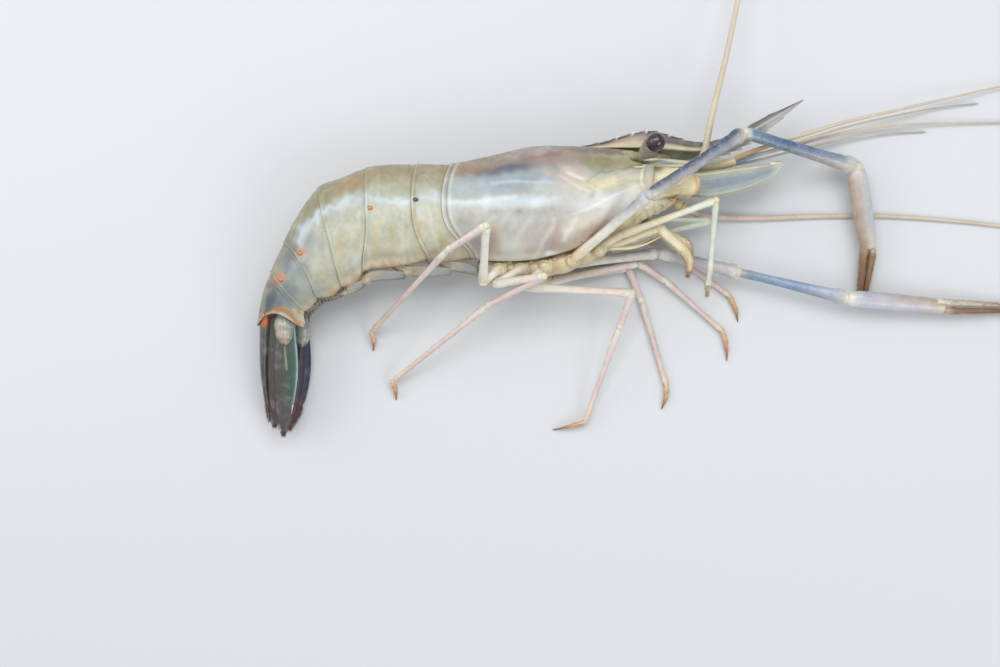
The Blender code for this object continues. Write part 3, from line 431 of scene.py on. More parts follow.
def group(name, sockets):
    """A shader node group with its named inputs and outputs, and the nodes that carry them."""
    made = bpy.data.node_groups.new(name, "ShaderNodeTree")
    for socket, side, kind, value in sockets:
        item = made.interface.new_socket(name=socket, in_out=side, socket_type="NodeSocket" + kind)
        if value is not None:
            item.default_value = value
    return made, made.nodes.new("NodeGroupInput").outputs, made.nodes.new("NodeGroupOutput").inputs


def wire(tree, made, **inputs):
    """Sets a node's inputs to values, or links them to sockets: i0 is the first, and _ stands for a space."""
    for key, value in inputs.items():
        socket = made.inputs[int(key[1:]) if key[1:].isdigit() else key.replace("_", " ")]
        if isinstance(value, bpy.types.NodeSocket):
            tree.links.new(value, socket)
        else:
            socket.default_value = value
    return made


def node(tree, kind, settings=None, **inputs):
    """A node with its settings and its inputs."""
    made = tree.nodes.new("ShaderNode" + kind)
    for key, value in (settings or {}).items():
        setattr(made, key, value)
    return wire(tree, made, **inputs)


def material(name):
    """A new material, its tree of nodes and its shader."""
    made = bpy.data.materials.new(name)
    made.use_nodes = True
    return made, made.node_tree, made.node_tree.nodes["Principled BSDF"]


def maths(tree, operation, *values):
    """One operation on one or two values."""
    inputs = {f"i{number}": value for number, value in enumerate(values)}
    return node(tree, "Math", {"operation": operation}, **inputs).outputs[0]


def blend(tree, how, share, under, over):
    """One colour laid over another by a share, in a blend mode."""
    made = node(tree, "Mix", {"data_type": "RGBA", "blend_type": how}, i0=share, i6=under, i7=over)
    return made.outputs[2]


def noise(tree, places, scale, detail=3.0, rough=0.55):
    """Cloudy noise from 0 to 1 over places."""
    made = node(tree, "TexNoise", None, Vector=places, Scale=scale, Detail=detail, Roughness=rough)
    return made.outputs["Fac"]


def ramp(tree, value, low, high):
    """0 below the first bound and 1 above the second, smooth between."""
    made = node(tree, "MapRange", {"interpolation_type": "SMOOTHSTEP"}, i0=value, i1=low, i2=high, i3=0.0,
                i4=1.0)
    return made.outputs[0]


def mottle_group():
    """Clouds of lighter and darker tone, and fine dots of pigment, over a colour."""
    tree, given, out = group("mottle", [
        ("Colour", "INPUT", "Color", None), ("Clouds", "INPUT", "Float", 0.2),
        ("Cloud size", "INPUT", "Float", 160.0), ("Dots", "INPUT", "Float", 0.3),
        ("Dot size", "INPUT", "Float", 2600.0), ("Dot colour", "INPUT", "Color", None),
        ("Colour", "OUTPUT", "Color", None),
    ])
    places = node(tree, "TexCoord").outputs["Object"]
    cloud = noise(tree, places, given["Cloud size"], 4.0, 0.6)
    darker = blend(tree, "MULTIPLY", maths(tree, "MULTIPLY", ramp(tree, cloud, 0.42, 0.7), given["Clouds"]),
                   given["Colour"], (0.55, 0.56, 0.5, 1.0))
    paler = blend(tree, "SCREEN", maths(tree, "MULTIPLY", ramp(tree, cloud, 0.5, 0.28), given["Clouds"]),
                  darker, (0.25, 0.26, 0.24, 1.0))
    speck = node(tree, "TexVoronoi", {"feature": "F1"}, Vector=places, Scale=given["Dot size"],
                 Randomness=1.0)
    patch = ramp(tree, noise(tree, places, 420.0, 2.0), 0.42, 0.66)
    dot = maths(tree, "MULTIPLY", ramp(tree, speck.outputs["Distance"], 0.3, 0.12), patch)
    dotted = blend(tree, "MIX", maths(tree, "MULTIPLY", dot, given["Dots"]), paler, given["Dot colour"])
    tree.links.new(dotted, out["Colour"])
    return tree


def pores_group():
    """The height of a shell's surface: shallow pits, and low swellings a few millimetres wide."""
    tree, given, out = group("pores", [
        ("Size", "INPUT", "Float", 3200.0), ("Pits", "INPUT", "Float", 0.4), ("Swell", "INPUT", "Float", 1.0),
        ("Height", "OUTPUT", "Float", None),
    ])
    places = node(tree, "TexCoord").outputs["Object"]
    pit = node(tree, "TexVoronoi", {"feature": "SMOOTH_F1"}, Vector=places, Scale=given["Size"],
               Randomness=0.9)
    pits = maths(tree, "MULTIPLY", ramp(tree, pit.outputs["Distance"], 0.05, 0.5), given["Pits"])
    swell = maths(tree, "MULTIPLY", noise(tree, places, 260.0, 4.0), given["Swell"])
    tree.links.new(maths(tree, "ADD", pits, swell), out["Height"])
    return tree


def streaks_group():
    """Fine lines that run along a form, from noise that is stretched along its lie."""
    tree, given, out = group("streaks",
                             [("Fineness", "INPUT", "Float", 9.0), ("Stretch", "INPUT", "Float", 0.06),
                              ("Mask", "OUTPUT", "Float", None)])
    lie = node(tree, "Attribute", {"attribute_name": "lie"}).outputs["Vector"]
    parts = node(tree, "SeparateXYZ", None, Vector=lie).outputs
    stretched = node(tree, "CombineXYZ", None, X=maths(tree, "MULTIPLY", parts[0], given["Stretch"]),
                     Y=maths(tree, "MULTIPLY", parts[1], given["Fineness"]),
                     Z=maths(tree, "MULTIPLY", parts[2], given["Fineness"])).outputs[0]
    tree.links.new(noise(tree, stretched, 1.0, 3.0), out["Mask"])
    return tree


def rings_group():
    """The rings of a feeler: a wave along its lie, 1 at each swelling and 0 at each joint."""
    tree, given, out = group("rings", [("Every", "INPUT", "Float", 0.6), ("Wave", "OUTPUT", "Float", None)])
    lie = node(tree, "Attribute", {"attribute_name": "lie"}).outputs["Vector"]
    along = node(tree, "SeparateXYZ", None, Vector=lie).outputs[0]
    turn = maths(tree, "DIVIDE", along, given["Every"])
    wave = maths(tree, "PINGPONG", turn, 0.5)
    tree.links.new(ramp(tree, wave, 0.03, 0.3), out["Wave"])
    return tree


MOTTLE, PORES, STREAKS, RINGS = mottle_group(), pores_group(), streaks_group(), rings_group()


def placed(tree, made, **inputs):
    """The first output of a node group that is placed in a tree with its inputs."""
    return node(tree, "Group", {"node_tree": made}, **inputs).outputs[0]


def finish(name, roughness, coat, clouds=(0.2, 160.0), dots=(0.3, 2600.0, BROWN), pores=(3200.0, 0.4, 1.0),
           depth=0.05, streaks=None, rings=None, inner_light=0.0, wear=0.12):
    """A wet shell's material: the painted tint, mottled, with its pores, streaks or rings raised a little.

    clouds and dots are each how strong and how fine they are, pores are their fineness, pits and swell.
    streaks is how strongly the fine lines darken the colour; rings is a feeler's ring spacing in mm.
    """
    made, tree, shader = material(name)
    tint = node(tree, "Attribute", {"attribute_name": "tint"}).outputs["Color"]
    colour = placed(tree, MOTTLE, Colour=tint, Clouds=clouds[0], Cloud_size=clouds[1], Dots=dots[0],
                    Dot_size=dots[1], Dot_colour=(*dots[2], 1.0))
    height = placed(tree, PORES, Size=pores[0], Pits=pores[1], Swell=pores[2])
    if streaks:
        mask = placed(tree, STREAKS)
        dark = maths(tree, "MULTIPLY", ramp(tree, mask, 0.45, 0.75), streaks)
        colour = blend(tree, "MULTIPLY", dark, colour, (0.35, 0.36, 0.36, 1.0))
        height = maths(tree, "ADD", height, maths(tree, "MULTIPLY", mask, 0.8))
    if rings:
        wave = placed(tree, RINGS, Every=rings)
        joint = maths(tree, "MULTIPLY", maths(tree, "SUBTRACT", 1.0, wave), 0.55)
        colour = blend(tree, "MULTIPLY", joint, colour, (0.5, 0.44, 0.36, 1.0))
        height = maths(tree, "ADD", height, maths(tree, "MULTIPLY", wave, 2.0))
    bump = node(tree, "Bump", None, Strength=0.6, Distance=depth * MM, Height=height)
    places = node(tree, "TexCoord").outputs["Object"]
    patchy = maths(tree, "MULTIPLY", noise(tree, places, 300.0, 3.0), 2 * wear)
    wire(tree, shader, Base_Color=colour, Normal=bump.outputs[0], IOR=1.5, Coat_Weight=coat,
         Coat_Roughness=0.12, Roughness=maths(tree, "ADD", patchy, roughness - wear))
    if inner_light:
        wire(tree, shader, Subsurface_Weight=inner_light, Subsurface_Radius=(1.0, 0.8, 0.6),
             Subsurface_Scale=1.6 * MM)
    return made


SHELL_FINISH = finish("wet shell", 0.4, 0.32, (0.3, 150.0), (0.42, 2300.0, OLIVE_DARK), inner_light=0.18)
HEAD_FINISH = finish("wet head shell", 0.4, 0.34, (0.3, 120.0), (0.34, 2500.0, ROSE), inner_light=0.18)
CREAM_FINISH = finish("cream shell", 0.4, 0.3, (0.2, 240.0), (0.25, 3000.0, TAN), (3800.0, 0.5, 1.0), 0.05,
                      inner_light=0.2)
TAIL_FINISH = finish("dark tail shell", 0.33, 0.4, (0.35, 210.0), (0.5, 3000.0, BLACK), (3600.0, 0.4, 0.8),
                     0.06, streaks=0.7)
BLUE_FINISH = finish("blue claw shell", 0.36, 0.4, (0.35, 260.0), (0.55, 2800.0, PALE_BLUE),
                     (2600.0, 0.9, 0.8), 0.1, streaks=0.35)
PALM_FINISH = finish("pale claw shell", 0.36, 0.35, (0.28, 240.0), (0.4, 3000.0, STEEL), (2800.0, 0.8, 0.8),
                     0.09, streaks=0.25)
FINGER_FINISH = finish("finger shell", 0.4, 0.3, (0.3, 320.0), (0.5, 3000.0, BROWN), (3000.0, 0.9, 0.8), 0.09,
                       streaks=0.3)
PINK_FINISH = finish("pink leg shell", 0.36, 0.35, (0.2, 260.0), (0.25, 3200.0, ROSE), (3600.0, 0.5, 0.8),
                     0.05, streaks=0.25, inner_light=0.2)
MINT_FINISH = finish("pale green leg shell", 0.36, 0.35, (0.22, 260.0), (0.3, 3200.0, OLIVE),
                     (3600.0, 0.5, 0.8), 0.05, streaks=0.2, inner_light=0.2)
FEELER_FINISH = finish("feeler", 0.42, 0.2, (0.2, 120.0), (0.2, 3000.0, BROWN), (4000.0, 0.3, 0.4), 0.05,
                       rings=0.7)
TAIL_PALE_FINISH = finish("pale blade", 0.36, 0.4, (0.25, 200.0), (0.3, 3000.0, OLIVE), (3600.0, 0.4, 0.8),
                          0.06, streaks=0.35, inner_light=0.15)
HAIR_FINISH = finish("bristles", 0.5, 0.1, (0.2, 300.0), (0.1, 3000.0, BROWN), (4000.0, 0.2, 0.3), 0.02)


def eye_finish():
    """The cornea: purple black, finely faceted, under a clear gloss, with a dim marbled glow below."""
    made, tree, shader = material("cornea")
    tint = node(tree, "Attribute", {"attribute_name": "tint"}).outputs["Color"]
    places = node(tree, "TexCoord").outputs["Object"]
    marble = ramp(tree, noise(tree, places, 520.0, 4.0, 0.7), 0.52, 0.72)
    colour = blend(tree, "MIX", maths(tree, "MULTIPLY", marble, 0.4), tint, (*tone(74, 44, 54), 1.0))
    facet = node(tree, "TexVoronoi", {"feature": "F1"}, Vector=places, Scale=6500.0, Randomness=0.25)
    domes = maths(tree, "SUBTRACT", 1.0, facet.outputs["Distance"])
    net = maths(tree, "MULTIPLY", ramp(tree, domes, 0.62, 0.4), 0.4)
    colour = blend(tree, "MIX", net, colour, (0.004, 0.003, 0.005, 1.0))
    bump = node(tree, "Bump", None, Strength=0.35, Distance=0.02 * MM, Height=domes)
    wire(tree, shader, Base_Color=colour, Normal=bump.outputs[0], Roughness=0.2, Specular_IOR_Level=0.3,
         Coat_Weight=0.8, Coat_Roughness=0.03)
    return made


EYE_FINISH = eye_finish()


# The trunk: the shield of the head and the six rings behind it.

SIDES_ROUND = 232
ABDOMEN_TINTS = (  # degrees round from the back, and the shell's colour there
    (0, (124, 108, 80)), (28, (142, 130, 98)), (48, (156, 149, 120)), (64, (172, 171, 152)),
    (88, (183, 185, 169)), (120, (190, 186, 164)), (142, (194, 180, 150)), (151, (176, 138, 98)),
    (160, (182, 166, 136)), (180, (196, 192, 176)),
)
CARAPACE_TINTS = (
    (0, (104, 90, 76)), (22, (126, 110, 96)), (40, (142, 130, 122)), (56, (154, 158, 156)),
    (74, (172, 178, 178)), (98, (182, 182, 178)), (122, (180, 172, 164)), (142, (188, 172, 154)),
    (149, (204, 172, 132)), (158, (196, 182, 156)), (180, (204, 196, 172)),
)


# The markings over the shell's colours, in the order they are painted, with painted highlights, a painted
# reflection of the sky and a painted shadow among them. Each is its strength, a dab's middle or a stroke's
# line, a dab's two radii and lean or a stroke's width, and its screen colour.
CARAPACE_MARKS_AND_PAINTED_LIGHT = (
    (1.0, (474, 170), (26, 7), (146, 122, 98)),
    # painted shadow: a dark blue-grey band along the upper back of the head shell
    (0.9, (508, 169), (32, 5.5, -12), (92, 96, 106)),
    (1.0, (552, 157), (26, 8), (158, 138, 130)),
    (1.0, (508, 182), (50, 9, -4), (148, 162, 170)),
    (0.8, (470, 186), (20, 8), (170, 180, 182)),
    (1.0, (608, 161), (34, 9, 4), (136, 126, 90)),
    (1.0, (604, 151), (32, 3.4, 4), (104, 92, 76)),
    (0.45, (591, 166), (9, 4.5, -20), (142, 158, 104)),
    (1.0, (632, 162), (16, 6), (152, 146, 110)),
    (0.9, (572, 176), (14, 12), (198, 182, 174)),
    (1.0, (606, 183), (34, 9, -6), (202, 196, 160)),
    (1.0, (634, 196), (15, 20), (222, 218, 200)),
    (1.0, (606, 202), (38, 9, -8), (216, 218, 214)),
    # painted reflection of the sky on the wet flank, over the shell's own whitish colour
    (0.8, (508, 202), (62, 6, -2), (192, 204, 210)),
    (0.8, (538, 203), (12, 5, -14), (216, 218, 218)),
    (1.0, (592, 219), (34, 9, -20), (204, 200, 186)),
    (0.9, (590, 235), (22, 11, -30), (184, 156, 138)),
    (0.9, (553, 234), (10, 18, 14), (170, 150, 142)),
    (0.7, (530, 235), (9, 13, 10), (176, 164, 162)),
    (0.85, (494, 237), (8, 12, 8), (172, 150, 132)),
    (0.7, (512, 247), (14, 12), (202, 202, 192)),
    (0.6, (463, 222), (8, 6), (160, 158, 148)),
    (1.0, (520, 258), (34, 4), (204, 200, 186)),
    (0.8, (551, 254), (7, 3, -16), (232, 234, 232)),
    (0.6, ((576, 217), (570, 229), (564, 240)), 2.4, (222, 218, 206)),
    (0.6, ((554, 220), (546, 238), (535, 257)), 2.2, (212, 208, 196)),
    (0.5, ((528, 222), (518, 238), (512, 252)), 2.4, (200, 198, 190)),
    # painted highlight: a thin light line along the upper flank
    (0.5, ((492, 183), (520, 181), (558, 183)), 1.6, (200, 208, 208)),
    (0.6, ((540, 190), (568, 188), (596, 186)), 1.6, (178, 176, 156)),
    # painted highlight: a soft white line of reflected light along the flank
    (0.75, ((447, 203), (470, 202), (496, 200), (516, 197)), 2.6, (208, 214, 216)),
    (0.7, ((646, 163), (622, 168), (600, 172), (586, 181)), 1.3, (124, 122, 84)),
    (0.5, ((648, 184), (628, 180), (606, 188), (592, 196)), 1.2, (176, 170, 140)),
    (0.6, ((546, 170), (560, 180), (582, 192)), 2.2, (186, 168, 156)),
    (0.4, ((560, 176), (576, 186), (590, 192)), 1.4, (226, 218, 208)),
    (0.5, ((566, 172), (584, 180), (600, 192)), 1.3, (222, 214, 204)),
    (0.5, ((590, 152), (610, 156), (640, 158)), 2.0, (168, 160, 128)),
    (0.8, ((540, 263), (580, 254), (610, 237), (640, 209), (650, 193)), 1.8, (204, 162, 114)),
    (0.9, ((645, 164), (641, 174), (643, 186), (648, 196)), 1.5, (228, 224, 206)),
    (0.55, ((560, 152), (530, 158), (500, 161)), 2.4, (124, 98, 80)),
    (0.6, (519, 212), (4, 2.4), (132, 130, 134)),
    (0.5, (495, 210), (5, 2.4), (138, 132, 132)),
    (0.5, (552, 209), (2, 1.6), (120, 116, 112)),
    (0.85, (650, 184), (4.5, 14), (222, 214, 186)),
    (0.8, (583, 241.6), (1.3, 1.0), (112, 60, 44)),
    (0.8, (566, 258), (7, 2.6, -16), (196, 146, 96)),
)


def paint_carapace(tint, at, spread):
    """The head's markings, with painted highlights, a painted sky reflection and a painted shadow, as strokes
    and dabs on the drawing of its side, with uneven edges.
    """
    tint = paint(tint, 0.4 * cloud(spread, 22, 3), (188, 174, 154))
    tint = paint(tint, 0.3 * cloud(spread, 7, 8), (148, 148, 142))
    return marked(tint, wander(at, 0.9, 19, 5, spread), CARAPACE_MARKS_AND_PAINTED_LIGHT)


ABDOMEN_MARKS = (
    (0.5, ((400, 222), (402, 240), (406, 258)), 2.2, (206, 204, 188)),
    (0.5, ((366, 236), (367, 250), (370, 262)), 1.8, (196, 194, 172)),
    (0.5, ((428, 206), (432, 228), (440, 250)), 2.0, (204, 200, 180)),
    (0.6, (356, 262), (8, 9), (186, 198, 200)),
    (0.85, (352, 182), (24, 8, -22), (158, 134, 100)),
    (0.8, (318, 206), (12, 18, 34), (132, 126, 92)),
    (0.6, (400, 172), (40, 6), (150, 132, 94)),
    (0.5, (436, 166), (22, 5), (140, 118, 84)),
    (0.8, (294, 246), (11, 22, 28), (112, 112, 104)),
    (0.7, (312, 244), (10, 16, 30), (144, 148, 150)),
    (0.8, (294, 266), (16, 12, 20), (112, 122, 130)),
    (0.85, (286, 294), (20, 18, 10), (104, 116, 124)),
    (0.9, (270, 304), (12, 16, 10), (62, 78, 90)),
    (0.8, (272, 284), (7, 10, 30), (122, 100, 84)),
    (0.7, (312, 290), (16, 14, 30), (148, 154, 148)),
    (0.6, (330, 268), (16, 18), (172, 172, 156)),
)
OVER_BAND_MARKS = (
    (0.5, (335, 212), (9, 3, -22), (168, 170, 158)),
    (0.8, (302, 251), (4.6, 6.0, 10), (196, 146, 100)),
    (0.8, (303, 252), (2.6, 3.6, 10), (192, 136, 94)),
    (0.8, (281, 277), (5.0, 5.6, 10), (196, 140, 92)),
    (0.8, (281, 278), (3.0, 3.8, 10), (194, 132, 86)),
    (0.7, (371, 209), (3.4, 3.0), (190, 158, 112)),
    (0.6, (416, 199), (3.2, 2.4), (120, 100, 74)),
    (0.85, ((303, 312), (322, 302), (345, 286), (372, 268), (404, 265), (440, 267)), 2.4, (184, 142, 94)),
    (0.5, ((350, 274), (374, 262), (400, 260), (436, 260)), 1.6, (212, 192, 168)),
)
REAR_RIM_MARK = (
    (0.9, ((264, 324), (269, 314), (278, 309), (288, 312), (295, 321), (299, 328)), 2.3, (188, 116, 58)),
)
# The upright bars: X, top, foot and how far each leans. Below, the painted sky reflection's strokes with
# their widths.
BARS = (
    (441, 214, 250, 4), (419, 214, 256, 3), (392, 216, 258, 0), (376, 220, 260, -2), (358, 226, 256, -4),
    (342, 232, 268, -5), (330, 242, 280, -10),
)
BAR_WIDTH = 2.4
SKY_REFLECTION_STROKES = (
    (((299, 242), (305, 229), (313, 220), (320, 213)), 4.8),
    (((322, 213), (335, 208), (350, 201), (367, 196)), 5.6), (((374, 200), (395, 201), (414, 202)), 4.4),
    (((421, 198), (434, 196), (447, 197)), 4.8),
)


def paint_abdomen(tint, drawing, spread):
    """The rings' markings: a broken painted reflection of the sky, bars, the dark rear, and the orange rim at
    the tail.
    """
    at = wander(drawing, 1.6, 17, 5, spread)
    bars = np.max([stroke(at, ((x - lean, top), (x, (top + foot) / 2), (x + lean, foot)), BAR_WIDTH)
                   for x, top, foot, lean in BARS], axis=0)
    sky_reflection = np.max([stroke(at, line, width) for line, width in SKY_REFLECTION_STROKES], axis=0)
    tint = paint(tint, 0.45 * cloud(spread, 17, 20), (182, 178, 152))
    tint = paint(tint, 0.3 * cloud(spread, 6, 24), (152, 152, 134))
    tint = paint(tint, 0.55 * bars, (190, 172, 126))
    tint = marked(tint, at, ABDOMEN_MARKS)
    # painted reflection: the blue-white band along the flank is the sky reflected on the wet shell
    tint = paint(tint, 0.9 * sky_reflection, (192, 202, 205))
    tint = marked(tint, at, OVER_BAND_MARKS)
    return marked(tint, drawing, REAR_RIM_MARK)


TUCK = 0.9  # how far a plate's front slips under the plate before it
REAR_GAP = 0.12  # how far a plate's rear edge stays short of the next station
TURNED_IN = ((0.35, -0.02), (0.75, 0.04), (1.1, 0.16))  # depth below the face, and stations back under it
INNER_SHADE = 0.8
# How firmly each ring's rear rim stands out from the ring behind it.
RIM_STRENGTH = {"abdomen_2": 0.7, "abdomen_3": 0.4, "abdomen_4": 0.4, "abdomen_5": 0.45}


def plate_grid(name, before, rows):
    """One shell plate: share counts from its front to its rear edge, and rows stand closer near both.

    Its front slips under the plate before. Its rear rim is rolled, with a groove ahead of it. The lower
    edge hangs in a lobe. Returns the grid, and each point's share and distances from its ends.
    """
    angle = around(SIDES_ROUND)
    start, end = edge_places(before, angle), edge_places(name, angle)
    length = np.linalg.norm(trunk_point(end, angle) - trunk_point(start, angle), axis=1)
    head = before == "head"
    start = start - (0.0 if head else TUCK) * (end - start) / length
    end = end - REAR_GAP * (end - start) / length
    t = np.linspace(0, 1, rows)[:, None]
    share = t - 0.62 * np.sin(TURN * t) / TURN
    at = start + (end - start) * share
    ahead, behind = share * length, (1 - share) * length
    turned = from_back(angle)
    rim = RIM_STRENGTH.get(name, 1.0)
    grow = 0.34 * share**2 - 0.17 + rim * (0.13 * hill(behind - 0.1, 0.4) - 0.16 * hill(behind - 1.15, 0.35))
    if not head:
        grow = grow - 0.5 * (1 - ease(ahead / 1.6)) - 0.12 * hill(ahead - 2.6, 0.5)
    edge = hill(turned - EDGE_ANGLE + 0.03, 0.09)
    lobe = np.sin(math.pi * np.clip(share, 0, 1)) ** 0.7
    drop = np.zeros_like(at) if head else 1.3 * lobe * hill(turned - EDGE_ANGLE, 0.16)
    grow = grow + 0.22 * edge - 0.16 * hill(turned - EDGE_ANGLE + 0.2, 0.08)
    return at, np.broadcast_to(angle, at.shape), grow, drop, share, ahead, behind


def add_plate(form, at, angles, grow, drop, tint):
    """The plate's outer face, turned in at both ends to a thickness of shell, and closed well inside."""
    outer = trunk_point(at, angles, grow, drop=drop)
    ends = [[trunk_point(at[row] + inward * back, angles[row], grow[row] - depth, drop=drop[row])
             for depth, back in TURNED_IN] for row, inward in ((0, 1.0), (-1, -1.0))]
    inner = [np.repeat(tint[row][None], len(TURNED_IN), axis=0) * INNER_SHADE for row in (0, -1)]
    grid = np.concatenate([np.array(ends[0][::-1]), outer, np.array(ends[1])])
    form.add(on_floor(grid), np.concatenate([inner[0], tint, inner[1]]))


def spread_points(at, angles):
    """The drawing's places with the height mixed in, so that patterns keep their grain on the back."""
    points = trunk_point(at, angles)
    return drawn(points) + points[..., 2:] * (1.0, 1.6)


CARAPACE_ROWS = 176
# Grooves and ridges of the head: a line, its width and its height, which is below 0 for a groove.
CARAPACE_RELIEF = (
    (((646, 163), (628, 167), (606, 172), (590, 182)), 1.7, -0.3),
    (((650, 192), (632, 188), (612, 194), (590, 206), (566, 214)), 2.0, -0.3),
    (((606, 172), (598, 186), (592, 204)), 2.2, -0.24),
    (((590, 182), (572, 176), (556, 164)), 2.4, -0.22),
    (((540, 258), (580, 249), (608, 232), (636, 204)), 1.5, -0.2),
    (((470, 184), (520, 186), (560, 196)), 5.0, -0.16),
    (((650, 168), (634, 171), (616, 176)), 1.8, 0.34),
    (((645, 178), (630, 180), (616, 184)), 2.2, 0.2),
    (((648, 164), (643, 176), (645, 188), (650, 196)), 1.4, 0.25),
    (((543, 262), (584, 253), (613, 236), (643, 205)), 1.2, 0.3),
    (((520, 205), (560, 204), (600, 198)), 9.0, 0.22),
)
HEAD_SPINES = ((0.18, 58, 3.0, 0.55), (0.95, 72, 2.2, 0.5))  # station, degrees from the back, length, radius
SPINE_ROOT = 3.0  # how far a spine starts inside the shell


def make_carapace():
    """The shield of the head and chest, with its grooves, spines, rolled rims and folded front."""
    at, angles, grow, drop, *_, behind = plate_grid("carapace", "head", CARAPACE_ROWS)
    places = drawn(trunk_point(at, angles))
    turned = np.degrees(from_back(angles))
    for line, width, height in CARAPACE_RELIEF:
        grow = grow + height * stroke(places, line, width)
    tint = paint_carapace(fade(turned, *CARAPACE_TINTS), places, spread_points(at, angles))
    tint = paint(tint, 0.6 * hill(behind - 0.3, 0.45), (204, 200, 178))
    # painted shade: darker along the groove ahead of the rear rim, away from the back
    tint = paint(tint, 0.6 * hill(behind - 1.6, 0.45) * ease((turned - 20) / 30), (120, 128, 112))
    tint = paint(tint, 0.5 * hill(behind - 2.6, 0.6), (214, 216, 206))
    form = Form()
    add_plate(form, at, angles, grow, drop, tint)
    rows = sides = 14
    s = np.linspace(0, 1, rows)
    for sign in (1, -1):
        for place, degrees, length, radius in HEAD_SPINES:
            foot = trunk_point(np.array(place), np.array(sign * math.radians(degrees)), 0.1)
            heading = unit(np.array((1.0, 0.05, sign * 0.24)))
            line = foot + heading * ((SPINE_ROOT + length) * s - SPINE_ROOT)[:, None]
            size = radius * np.sin(math.pi * np.clip(s, 0.04, 1) ** 0.62) ** 0.8 + 0.04
            form.add(sweep(line, size, size * 0.8, sides),
                     bands(s, sides, (0, (170, 166, 142)), (0.6, (200, 194, 166)), (1, CREAM)))
    form.make("carapace_shell", HEAD_FINISH, "head_shell", "carapace")


# Where each ring's hinge shows: station, degrees from the back, size, and its colours.
HINGES = (
    (7.13, 77, 1.0, (92, 68, 46), (44, 34, 28)), (8.84, 82, 1.0, (190, 132, 80), (60, 44, 34)),
    (11.0, 83, 0.6, (168, 160, 132), (130, 122, 96)), (12.5, 75, 1.15, (184, 128, 88), (84, 46, 26)),
    (13.78, 69, 1.2, (190, 126, 82), (110, 56, 30)), (15.6, 42, 1.4, (190, 124, 82), (130, 76, 46)),
)


HINGE_REACH = 0.45  # how near a hinge lies to its ring's edge, in stations
RING_ROWS = {"abdomen_1": 46, "abdomen_2": 60, "abdomen_3": 60, "abdomen_4": 56, "abdomen_5": 46,
             "abdomen_6": 56}


def add_hinge(form, place, degrees, size, bright, dark):
    """A knob on each flank, dark at its root, where two rings turn on each other."""
    turns, rows = 24, 16
    for sign in (1, -1):
        angle = np.array(sign * math.radians(degrees))
        centre = trunk_point(np.array(place), angle, 0.05)
        out = unit(centre - trunk_point(np.array(place), angle, -3.0))
        grid = ball(centre, (0.5 * size, size, 0.8 * size), turns, rows, out, (0.3, 1.0, 0.0))
        form.add(on_floor(grid),
                 bands(np.linspace(0, 1, rows), turns, (0, dark), (0.55, dark), (0.75, bright), (1, bright)))


def make_abdomen():
    """The six rings of the abdomen, with the hinges between them."""
    names = list(EDGES)[1:]
    for before, name in zip(names, names[1:]):
        at, angles, grow, drop, share, ahead, behind = plate_grid(name, before, RING_ROWS[name])
        places = drawn(trunk_point(at, angles))
        turned = np.degrees(from_back(angles))
        grow = grow + 0.16 * hill(share - 0.55, 0.22) * ease((turned - 60) / 40)
        tint = paint_abdomen(fade(turned, *ABDOMEN_TINTS), places, spread_points(at, angles))
        rim = RIM_STRENGTH.get(name, 1.0) * (1 - 0.5 * ease((turned - 80) / 20))
        tint = paint(tint, 0.35 * rim * hill(behind - 0.2, 0.35), (196, 188, 152))
        # painted shade: darker in the groove ahead of each rim, and on the ring's front just behind the rim
        # of the ring ahead
        tint = paint(tint, 0.35 * rim * hill(behind - 1.2, 0.4) * ease((turned - 30) / 30), (128, 122, 94))
        tint = paint(tint, 0.3 * hill(ahead - 1.4, 0.5), (140, 138, 116))
        form = Form()
        add_plate(form, at, angles, grow, drop, tint)
        flank = EDGES[name][1]
        for place, degrees, size, bright, dark in HINGES:
            if abs(place - flank) <= HINGE_REACH:
                add_hinge(form, place, degrees, size, bright, dark)
        form.make(name + "_shell", SHELL_FINISH, "shell", name)


make_carapace()
make_abdomen()


# The limbs: the walking legs, the small pincers, the mouth's legs and the great claws.

COXAE = ((36.0, 31.0), (26.5, 27.0), (16.5, 25.0), (8.0, 24.0), (0.0, 24.0))
LEGS = {
    "leg_1_right": ((36.0, 31.5, 25.0), (43.5, 35.5, 27.0), (78.4, 48.4, 27.0), (77.7, 23.5, 16.2)),
    "leg_1_left": ((36.0, 31.0, 13.0), (44.5, 33.6, 9.6), (79.1, 42.2, 9.0), (60.5, 42.6, 10.2)),
    "leg_3_right": (
        (16.5, 24.6, 26.5), (9.2, 17.0, 23.6), (49.0, 15.0, 14.0), (44.5, 1.7, 10.0), (32.1, -33.5, 2.4),
        (20.1, -36.6, 0.28),
    ),
    "leg_4_right": (
        (8.0, 23.6, 27.0), (-1.6, 18.0, 25.6), (15.7, 20.6, 33.0), (-5.2, 9.8, 18.0), (-40.8, -18.3, 2.8),
        (-39.5, -25.2, 0.28),
    ),
    "leg_5_right": (
        (-0.5, 23.6, 27.0), (-6.2, 18.6, 28.0), (-4.9, 37.9, 44.0), (-19.0, 29.6, 36.0), (-48.6, 0.6, 3.0),
        (-48.2, -6.6, 0.28),
    ),
    "leg_3_left": (
        (17.0, 25.0, 11.2), (29.0, 26.4, 5.2), (53.9, 34.9, 4.0), (64.2, 30.8, 3.0), (87.0, 14.2, 1.6),
        (90.3, 4.4, 0.28),
    ),
    "leg_4_left": (
        (8.5, 23.5, 11.0), (19.0, 19.6, 9.2), (52.0, 26.6, 5.7), (62.6, 19.8, 3.4), (84.3, 0.9, 1.6),
        (86.1, -10.4, 0.28),
    ),
    "leg_5_left": (
        (0.5, 23.6, 10.6), (9.5, 18.6, 4.8), (48.6, 25.1, 1.8), (53.9, 11.5, 1.8), (63.1, -19.9, 1.2),
        (61.3, -28.7, 0.28),
    ),
}
WALKING_RADII = (2.0, 1.8, 1.65, 1.28, 1.0, 0.86)
